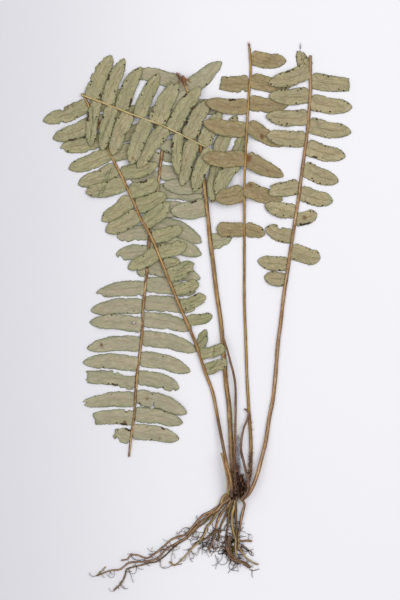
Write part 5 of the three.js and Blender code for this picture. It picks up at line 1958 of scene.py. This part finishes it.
LEFT_STIPE = Run(
    ((-2, -3), (-2.4, 6), (-6, 23), (-11.3, 50), (-16.6, 77), (-22.5, 93), (-29, 113), (-40, 139),
     (-52, 168), (-63, 195), (-72, 211), (-78, 225), (-86, 242), (-97, 264), (-107, 287), (-116, 306)),
    (3.0, 2.7, 2.4, 2.2),
    (
        Row(RIGHT, 101, 267, 13, (19, 21.2, 16.5, 20.8, 21.5, 20.5, 14, 23, 25, 26, 25.5, 24, 30),
            (85, 91, 42, 102, 91, 94, 106, 96, 97, 79, 89, 95, 102),
            (9, 8.8, 7.5, 8.4, 9.6, 8.9, 9.6, 10.6, 10, 11.8, 12.4, 11.6, 11.6),
            {0: Odd(shift=-1.5, bites=(Bite(0.55, -1, 1.5, 1.3), Bite(0.8, 1, 1.4, 1.8)), taper=0.3,
                    creases=((0.2, -1.0, 0.6, 2.4),)),
             1: Odd(shift=-2.8, taper=0.3, stains=((0.55, 0.0, 1.0, 0.5),),
                    creases=((0.45, -3.0, 0.6, 3.0),)),
             2: Odd(shift=-12, taper=0.6, stains=((0.6, 2.5, 1.4, 0.5),),
                    creases=((0.15, 2.0, 0.8, -1.5),)),
             3: Odd(shift=-2.5, taper=0.35),
             4: Odd(shift=-3.9, taper=0.35, creases=((0.15, 0.5, 0.8, 1.2), (0.3, -2.0, 0.85, -1.6))),
             5: Odd(shift=-5.4, taper=0.3), 6: Odd(shift=3.5, taper=0.3), 7: Odd(shift=-0.8, taper=0.4),
             8: Odd(shift=-2.6, taper=0.4), 9: Odd(shift=-4.3, creases=((0.2, 0.4, 0.8, 0.8),)),
             10: Odd(shift=-3.4), 11: Odd(shift=-4.5, taper=0.3), 12: Odd(shift=-2.5)}, 0.6, ragged=0.75),
        Row(RIGHT, 281, 321, 4, (34, 38), (98, 92)),
        Row(LEFT, 230, 322, 8, (29, 29, 31, 33, 34, 34, 36, 37), (93, 101, 77, 85, 85, 79, 87, 84),
            (12, 12, 12, 11.8, 11.6), {2: Odd(creases=((0.75, 5.4, 0.54, -3.4), (0.63, 3.9, 0.45, -5.1))),
             3: Odd(creases=((0.40, 5.2, 0.12, -2.7), (0.47, 4.3, 0.21, -2.3))),
             5: Odd(shift=-0.8, bites=(Bite(0.94, 1, 1.6, 1.5),)), 6: Odd(holes=((0.66, 4.7, 1.1),)),
             7: Odd(shift=1.5, bites=(Bite(0.54, -1, 1.9, 1.5), Bite(0.64, 1, 1.6, 1.5)),
                    stains=((0.3, -4.6, 0.9, 0.7), (0.42, -4.9, 0.9, 0.8), (0.48, -4.3, 0.7, 0.8)))},
            crenate=0.5),
        Row(RIGHT, 177, 177, 1, (23,), (86,), odd={0: Odd(
            taper=0.4, bites=(Bite(0.72, -1, 1.6, 1.4), Bite(0.93, -1, 1.6, 1.6)),
            creases=((0.1, 4.5, 0.45, 1.5), (0.45, 1.5, 0.95, 3.6), (0.2, -2.0, 0.75, -3.4)))},
            crenate=0.9),
        Row(LEFT, 197.5, 197.5, 1, (26.5,), (97,), (10.8,)),
    ),
    seat=6.4, key=13, dark=((-8, 8, 0.8), (28, 66, 0.6)),
)

FOLDED_OVER_TIP = Run(
    ((-117, 306), (-103, 301), (-88, 295), (-73, 289), (-57, 283), (-42, 276), (-26, 268), (-14, 262),
     (2, 255.5)),
    (2.1, 1.9, 1.6, 0.9),
    (
        Row(LEFT, 7, 111, 9, (37, 38, 37, 37, 38, 40, 34, 30, 33), (84, 91, 87, 87, 84, 82, 89, 90, 87),
            (12.4, 10.4, 11.2, 10.6, 13.4, 11.8, 11.8, 11.4, 10.4),
            {0: Odd(bites=(Bite(0.55, 1, 0.9, 2.0), Bite(0.35, 1, 0.8, 1.4))), 2: Odd(shift=-0.8, sweep=32),
             3: Odd(shift=0.8), 4: Odd(Tip.TORN, shift=1.6, sweep=10), 5: Odd(shift=2), 6: Odd(shift=3),
             7: Odd(shift=3), 8: Odd(shift=3)}, crenate=0.35, ragged=0.5),
        Row(LEFT, 129, 129, 1, (23,), (94,), (9.5,)),
        Row(RIGHT, 12, 129, 10, (36, 35, 35, 37, 38, 32, 36, 35, 38, 31),
            (78, 81, 89, 91, 100, 65, 77, 85, 77, 99), (9, 10, 11.6, 11.6, 11.6, 8, 11.2, 11, 10.5, 11.6),
            {0: Odd(stains=((0.45, -3.0, 1.2, 0.8),),
                    creases=((0.15, -2.0, 0.6, 1.4), (0.35, 2.4, 0.9, -0.6))),
             1: Odd(creases=((0.2, 1.6, 0.75, -1.2),)), 3: Odd(shift=3, stains=((0.86, 1.0, 1.2, 0.7),)),
             4: Odd(shift=5), 5: Odd(shift=3), 6: Odd(shift=2.5), 7: Odd(shift=4.5)}, crenate=0.35,
            ragged=0.5),
    ),
    key=14,
)

STRAIGHT_STIPE = Run(
    ((8, 0), (12, 13), (13, 37), (12, 56), (11, 71), (10, 89), (9, 119), (8, 148), (8, 177), (8, 201),
     (8, 225), (8, 241), (9, 264), (10, 282), (11, 298), (12, 313), (13, 326), (12, 343)),
    (3.0, 2.4, 2.2, 2.1),
    (
        Row(RIGHT, 205, 205, 1, (17,), (108,), (11,), {0: Odd(taper=0.6)}),
        Row(RIGHT, 235, 259, 2, (31, 33), (106, 113), (12.2,),
            {0: Odd(stains=((0.12, 4.0, 1.8, 0.7),)), 1: Odd(taper=0.6, stains=((0.06, 0.0, 3.0, 0.9),))}),
        Row(RIGHT, 284, 336, 4, (34, 31, 32, 28), (113, 89, 92, 99),
            odd={0: Odd(stains=((0.42, -1.6, 1.7, 0.9),), creases=((0.45, -2.2, 0.9, -3.5),))}),
        Row(LEFT, 203, 203, 1, (21.5,), (86,), (11.2,), {0: Odd(taper=0.25)}),
        Row(LEFT, 232, 258, 2, (23, 33), (103, 92), (13.4, 12)),
        Row(LEFT, 280, 316, 3, (34, 33, 23.5), (84, 88, 93), (12, 12, 12.8),
            {2: Odd(Tip.CUT, bites=(Bite(0.25, 1, 2.0, 1.5),))}),
    ),
    seat=3.6, key=15, dark=((-10, 36, 0.95),),
)

RIGHT_STIPE = Run(
    ((5, -6), (11.5, 0), (16.8, 11), (21, 25.5), (24.5, 39.5), (27, 56), (30, 71), (32, 90), (34, 115),
     (36, 130), (38, 148), (42, 175), (44, 189), (46, 202), (50, 228), (52, 244), (55, 265), (57, 282),
     (58, 294), (59, 306), (59, 321), (59, 337)),
    (3.5, 3.3, 3, 2.8, 2.6),
    (
        Row(LEFT, 340, 340, 1, (17.5,), (24,), (10,), {0: Odd(
            Tip.TORN, sweep=70, taper=0.5, creases=((0.35, -4.6, 0.95, -1.2), (0.55, -1.0, 0.75, -4.4)))}),
        Row(RIGHT, 199, 199, 1, (24,), (97,), (12.6,), {0: Odd(taper=0.34)}),
        Row(RIGHT, 222, 222, 1, (18,), (62,), (10.5,),
            {0: Odd(taper=0.4, stains=((0.42, 0.5, 1.8, 0.8),))}),
        Row(RIGHT, 245, 332, 6, (27, 30, 32, 34, 33, 31.5), (98, 103, 96, 95, 92, 97), (12.4,),
            {0: Odd(shift=-0.6), 1: Odd(shift=1.2), 5: Odd(Tip.CUT, shift=-0.5)}, crenate=0.4),
        Row(LEFT, 176, 188, 2, (17, 24), (90, 91), (11,)),
        Row(LEFT, 209, 249, 3, (22, 25, 25.5), (79, 87, 104),
            odd={0: Odd(bites=(Bite(0.55, -1, 2.4, 1.8),)), 2: Odd(Tip.TORN)}),
        Row(LEFT, 285.6, 336.8, 4, (31, 33, 32, 34), (91, 93, 93, 108), (12.2,), {3: Odd(shift=2.4)}, 0.4),
    ),
    seat=5, key=16, dark=((-8, 3, 0.5),),
)

DEAD_STALK = Run(((1, 2), (0.5, 32), (1, 52), (1.2, 67), (1, 82), (-0.4, 91), (-3, 101), (-6, 112),
                  (-9, 121)),
                 (2.3, 2.1, 2, 1.8), seat=7, key=17, dark=((-9, 26, 0.8),))
CROZIER_STALK = Run(((6, -4), (10, 0.5), (11, 5), (10.3, 12), (8.7, 17.5), (7, 25), (5.3, 32.5), (6, 43),
                     (8, 51), (11, 58), (11, 62), (8, 64)), (2.6, 2.4, 2, 1.5), seat=6, key=18)
CUT_STALK = Run(((-5, 0), (-5, 9), (-7, 20), (-10, 31)), (2.2, 2, 1.7), seat=6.6, key=19)

LAYING_ORDER = (FOLDED_BACK_TIP, MIDDLE_STIPE, LEFT_STIPE, FOLDED_OVER_TIP, STRAIGHT_STIPE, RIGHT_STIPE,
                DEAD_STALK, CROZIER_STALK, CUT_STALK)

# Root barks darken strongly towards both edges: painted shade on the round roots.
GOLDEN_ROOT = StalkFinish("golden_root_bark", (52, 36, 14), (184, 150, 92), (226, 198, 144), (84, 60, 28),
                          0.35, 0.4, 0.9, gloss=0.15)
RUSSET_ROOT = StalkFinish("russet_root_bark", (34, 19, 10), (150, 110, 76), (214, 174, 136), (64, 38, 24),
                          0.35, 0.5, 0.95, gloss=0.15)
DARK_ROOT = StalkFinish("dark_root_bark", (20, 12, 7), (100, 74, 48), (172, 142, 100), (34, 22, 14), 0.35,
                        0.5, 0.9, gloss=0.15)
OLD_ROOT = StalkFinish("old_root_bark", (24, 13, 9), (102, 72, 54), (186, 150, 120), (38, 22, 17), 0.4, 0.5,
                       0.85, gloss=0.12)

ROOTS = (
    Root(((-3, 0), (-8, -4), (-11, -10), (-13, -15), (-20, -27), (-26, -37), (-34, -45), (-42, -54),
          (-46, -57), (-50, -54)), (2.3, 2, 1.6, 1.3, 1.2), GOLDEN_ROOT),
    Root(((-3, -1), (-8, -6), (-12, -11), (-18, -15), (-25, -19), (-33, -28), (-38, -33), (-48, -37),
          (-58, -45), (-66, -51), (-75, -49), (-80, -49), (-82, -52), (-87, -53)), (2.2, 1.9, 1.4, 1.2),
         RUSSET_ROOT),
    Root(((-3, -4), (-9, -9), (-15, -15), (-23, -21), (-30, -28), (-36, -34), (-45, -40), (-51, -43),
          (-59, -51), (-71, -54), (-81, -55), (-88, -60), (-95, -61), (-106, -65)), (2.4, 2, 1.5, 1.4, 1.1),
         RUSSET_ROOT),
    Root(((-4, -6), (-16, -18), (-27, -27), (-36, -35), (-45, -42), (-53, -49), (-60, -54), (-66, -55),
          (-77, -58), (-83, -60), (-84, -64), (-87, -70), (-93, -76)), (1.8, 1.4, 1.2, 1.2, 1.3),
         DARK_ROOT),
    Root(((-106, -65), (-102, -61), (-99, -58)), (1.3, 1), GOLDEN_ROOT),
    Root(((-2, -1), (-3, -8), (-8, -14), (-13, -24), (-15, -35), (-17, -40), (-20, -45)),
         (2.8, 2.4, 1.6, 1.1), RUSSET_ROOT),
    Root(((-2, -3), (-5, -14), (-10, -26), (-12, -38)), (2.4, 1.8, 1.2), DARK_ROOT),
    Root(((0, -3), (-4, -17), (-5, -26), (-6, -37)), (2.4, 1.8, 1.3), DARK_ROOT),
    Root(((2.6, 1), (0.6, -9), (-1.4, -17), (-1, -26), (0.6, -34), (1.3, -42), (2, -49)),
         (3.4, 2.9, 2.3, 1.9, 1.7), GOLDEN_ROOT),
    Root(((2, -3), (1.4, -13), (1, -20), (2.4, -31), (2, -38)), (2.6, 2.2, 2.2, 1.8), DARK_ROOT),
    Root(((4, -4), (7, -7), (8, -10), (7, -15), (5, -22), (4, -30), (3, -42)), (2.2, 2.3, 1.9, 1.5),
         RUSSET_ROOT),
    Root(((3, -38), (8, -38), (14, -38)), (1.7, 1.7, 1.8), RUSSET_ROOT),
    Root(((-3, -34), (-5, -42), (-3, -48), (0, -51), (8, -55), (13, -58)), (2.6, 4.4, 4.2, 3, 2.3),
         OLD_ROOT, 5),
    Root(((3, -42), (5, -45), (8, -50), (14, -54), (19, -56)), (1.8, 1.4, 1.4), GOLDEN_ROOT),
    Root(((-12, -30), (-20, -35), (-30, -40)), (1.7, 1.3, 1.1), DARK_ROOT),
    Root(((6, -42), (10, -45), (13, -49), (15, -50)), (0.7, 0.6, 0.5), DARK_ROOT),
    Root(((12, -60), (15.5, -61), (20, -60)), (0.7, 0.6, 0.5), DARK_ROOT),
)

TANGLES = (
    Tangle((-12, -34), (8, 6), 15),
    Tangle((-4, -42), (5, 7), 30),
    Tangle((-14, -44), (9, 5), 12),
    Tangle((-28, -38), (8, 6), 11),
    Tangle((1, -50), (8, 4), 9),
    Tangle((5, -40), (4, 4), 6),
)

LUMPS = (
    Lump((6.4, 3.4, 3.6), (3.6, 5, 4.6), 0.42),
    Lump((5, 8.4, 3.2), (2.8, 4, 4), 0.42),
    Lump((5, -1.4, 3.4), (3.6, 4.2, 4.2), 0.42),
    Lump((-0.6, -3, 3), (3.8, 4.6, 3.8), 0.5),
    Lump((1.4, 3, 3.8), (3.2, 5, 4.6), 1.0),
    Lump((1.6, 9.6, 3.6), (2.6, 5, 4.4), 1.0),
    Lump((1.6, 15.5, 2.8), (2.2, 4.4, 3.4), 1.0),
)

CHAFF = (
    Chaff("stalk_scales", STALK_CHAFF, Slot.STALK, 100.0, (
        ChaffPatch(FOLDED_BACK_TIP, 120, 285, 260, 1.5, 0.4),
        ChaffPatch(STRAIGHT_STIPE, 8, 60, 130, 1.9, 0.3, 0.9, (-1.0, 0.2)),
        ChaffPatch(MIDDLE_STIPE, 10, 120, 150, 1.6, 0.3, 0.7, (-1.0, 0.3)),
        ChaffPatch(RIGHT_STIPE, 20, 330, 90, 1.1, 0.35),
        ChaffPatch(CROZIER_STALK, 6, 66, 90, 1.4, 0.3, 0.8),
        ChaffPatch(LEFT_STIPE, 6, 60, 60, 1.4, 0.3),
    )),
    Chaff("stipe_base_scales", CROWN_SCALES, Slot.ROOT, 300.0, (
        ChaffPatch(MIDDLE_STIPE, 2, 36, 170, 2.6, 0.4, 0.35, (-0.6, 1.0)),
        ChaffPatch(DEAD_STALK, 2, 50, 150, 2.2, 0.3, 0.6),
        ChaffPatch(STRAIGHT_STIPE, 2, 30, 150, 2.4, 0.35),
        ChaffPatch(CROZIER_STALK, 2, 26, 60, 1.8, 0.3),
    )),
    # The fuzz is hairs whose blue-grey colour is partly painted shade.
    Chaff("crown_fuzz", FUZZ_AND_SHADE, Slot.ROOT, 7000.0, (Fuzz(),)),
    Chaff("frayed_fold", TORN_FIBRE, Slot.STALK, 700.0, (
        Fray((-43.4, 322.4), -58, 34, 14, 6.5, 0.55, 1.3),
        Fray((-39.6, 320.2), -66, 26, 16, 8.5, 0.55, 1.2),
        Fray((-42, 317), 40, 150, 8, 4, 0.4, 2.5),
        Fray((-104.9, 284.7), 30, 120, 5, 2.6, 0.5, 0.8),
    )),
    Chaff("frayed_tops", FRAYED_FIBRE, Slot.STALK, 700.0, (Fray((12, 343), 95, 70, 9, 4.5, 0.5, 0.8),)),
    Chaff("frayed_blade", FUZZ_AND_SHADE, Slot.STALK, 700.0, (Fray((51.2, 342), 84, 34, 5, 5, 0.3, 0.4),)),
)

FRONDS = (
    Frond("left_frond", "frond_left_folded", Slot.GREEN, (LEFT_STIPE, FOLDED_OVER_TIP), GREEN_BLADE,
          (ORANGE_STALK, TAN_STALK), (1.6, 3.4), (0.3, 0.75)),
    Frond("middle_frond", "frond_middle_folded", Slot.GREEN, (MIDDLE_STIPE, FOLDED_BACK_TIP), GREY_BLADE,
          (BROWN_STALK, RUSSET_STALK), (1.5, 1.0), (0.2, 0.15)),
    Frond("straight_frond", "frond_straight", Slot.BROWN, (STRAIGHT_STIPE,), BROWN_BLADE,
          (GOLDEN_STALK,), (0.6,), (0.25,)),
    Frond("right_frond", "frond_right", Slot.GREEN, (RIGHT_STIPE,), PALE_BLADE,
          (UMBER_STALK,), (4.2,), (0.3,)),
)

BARE_STALKS = (
    BareStalk("dead_stalk", DEAD_STALK, DEAD_BARK),
    BareStalk("young_crozier", CROZIER_STALK, PLUM_STALK),
    BareStalk("cut_stalk", CUT_STALK, BROWN_STALK),
)


def main() -> None:
    """Lays the plant on the floor, then builds and dresses each of its pieces."""
    logging.basicConfig(level=logging.INFO, format="%(name)s %(message)s")
    Studio().build()
    effects = Effects()
    pile = Pile()
    for run in LAYING_ORDER:
        run.lay(pile)
    roots = Roots(ROOTS)
    crown = Crown(LUMPS, CROWN_PITH, CROWN_SCALES)
    for part in (*FRONDS, *BARE_STALKS, roots, Rootlets(roots, ROOTLET_BARK, TANGLES), crown):
        part.build(effects)
    for chaff in CHAFF:
        chaff.build(effects, pile)


if __name__ == "__main__":
    main()
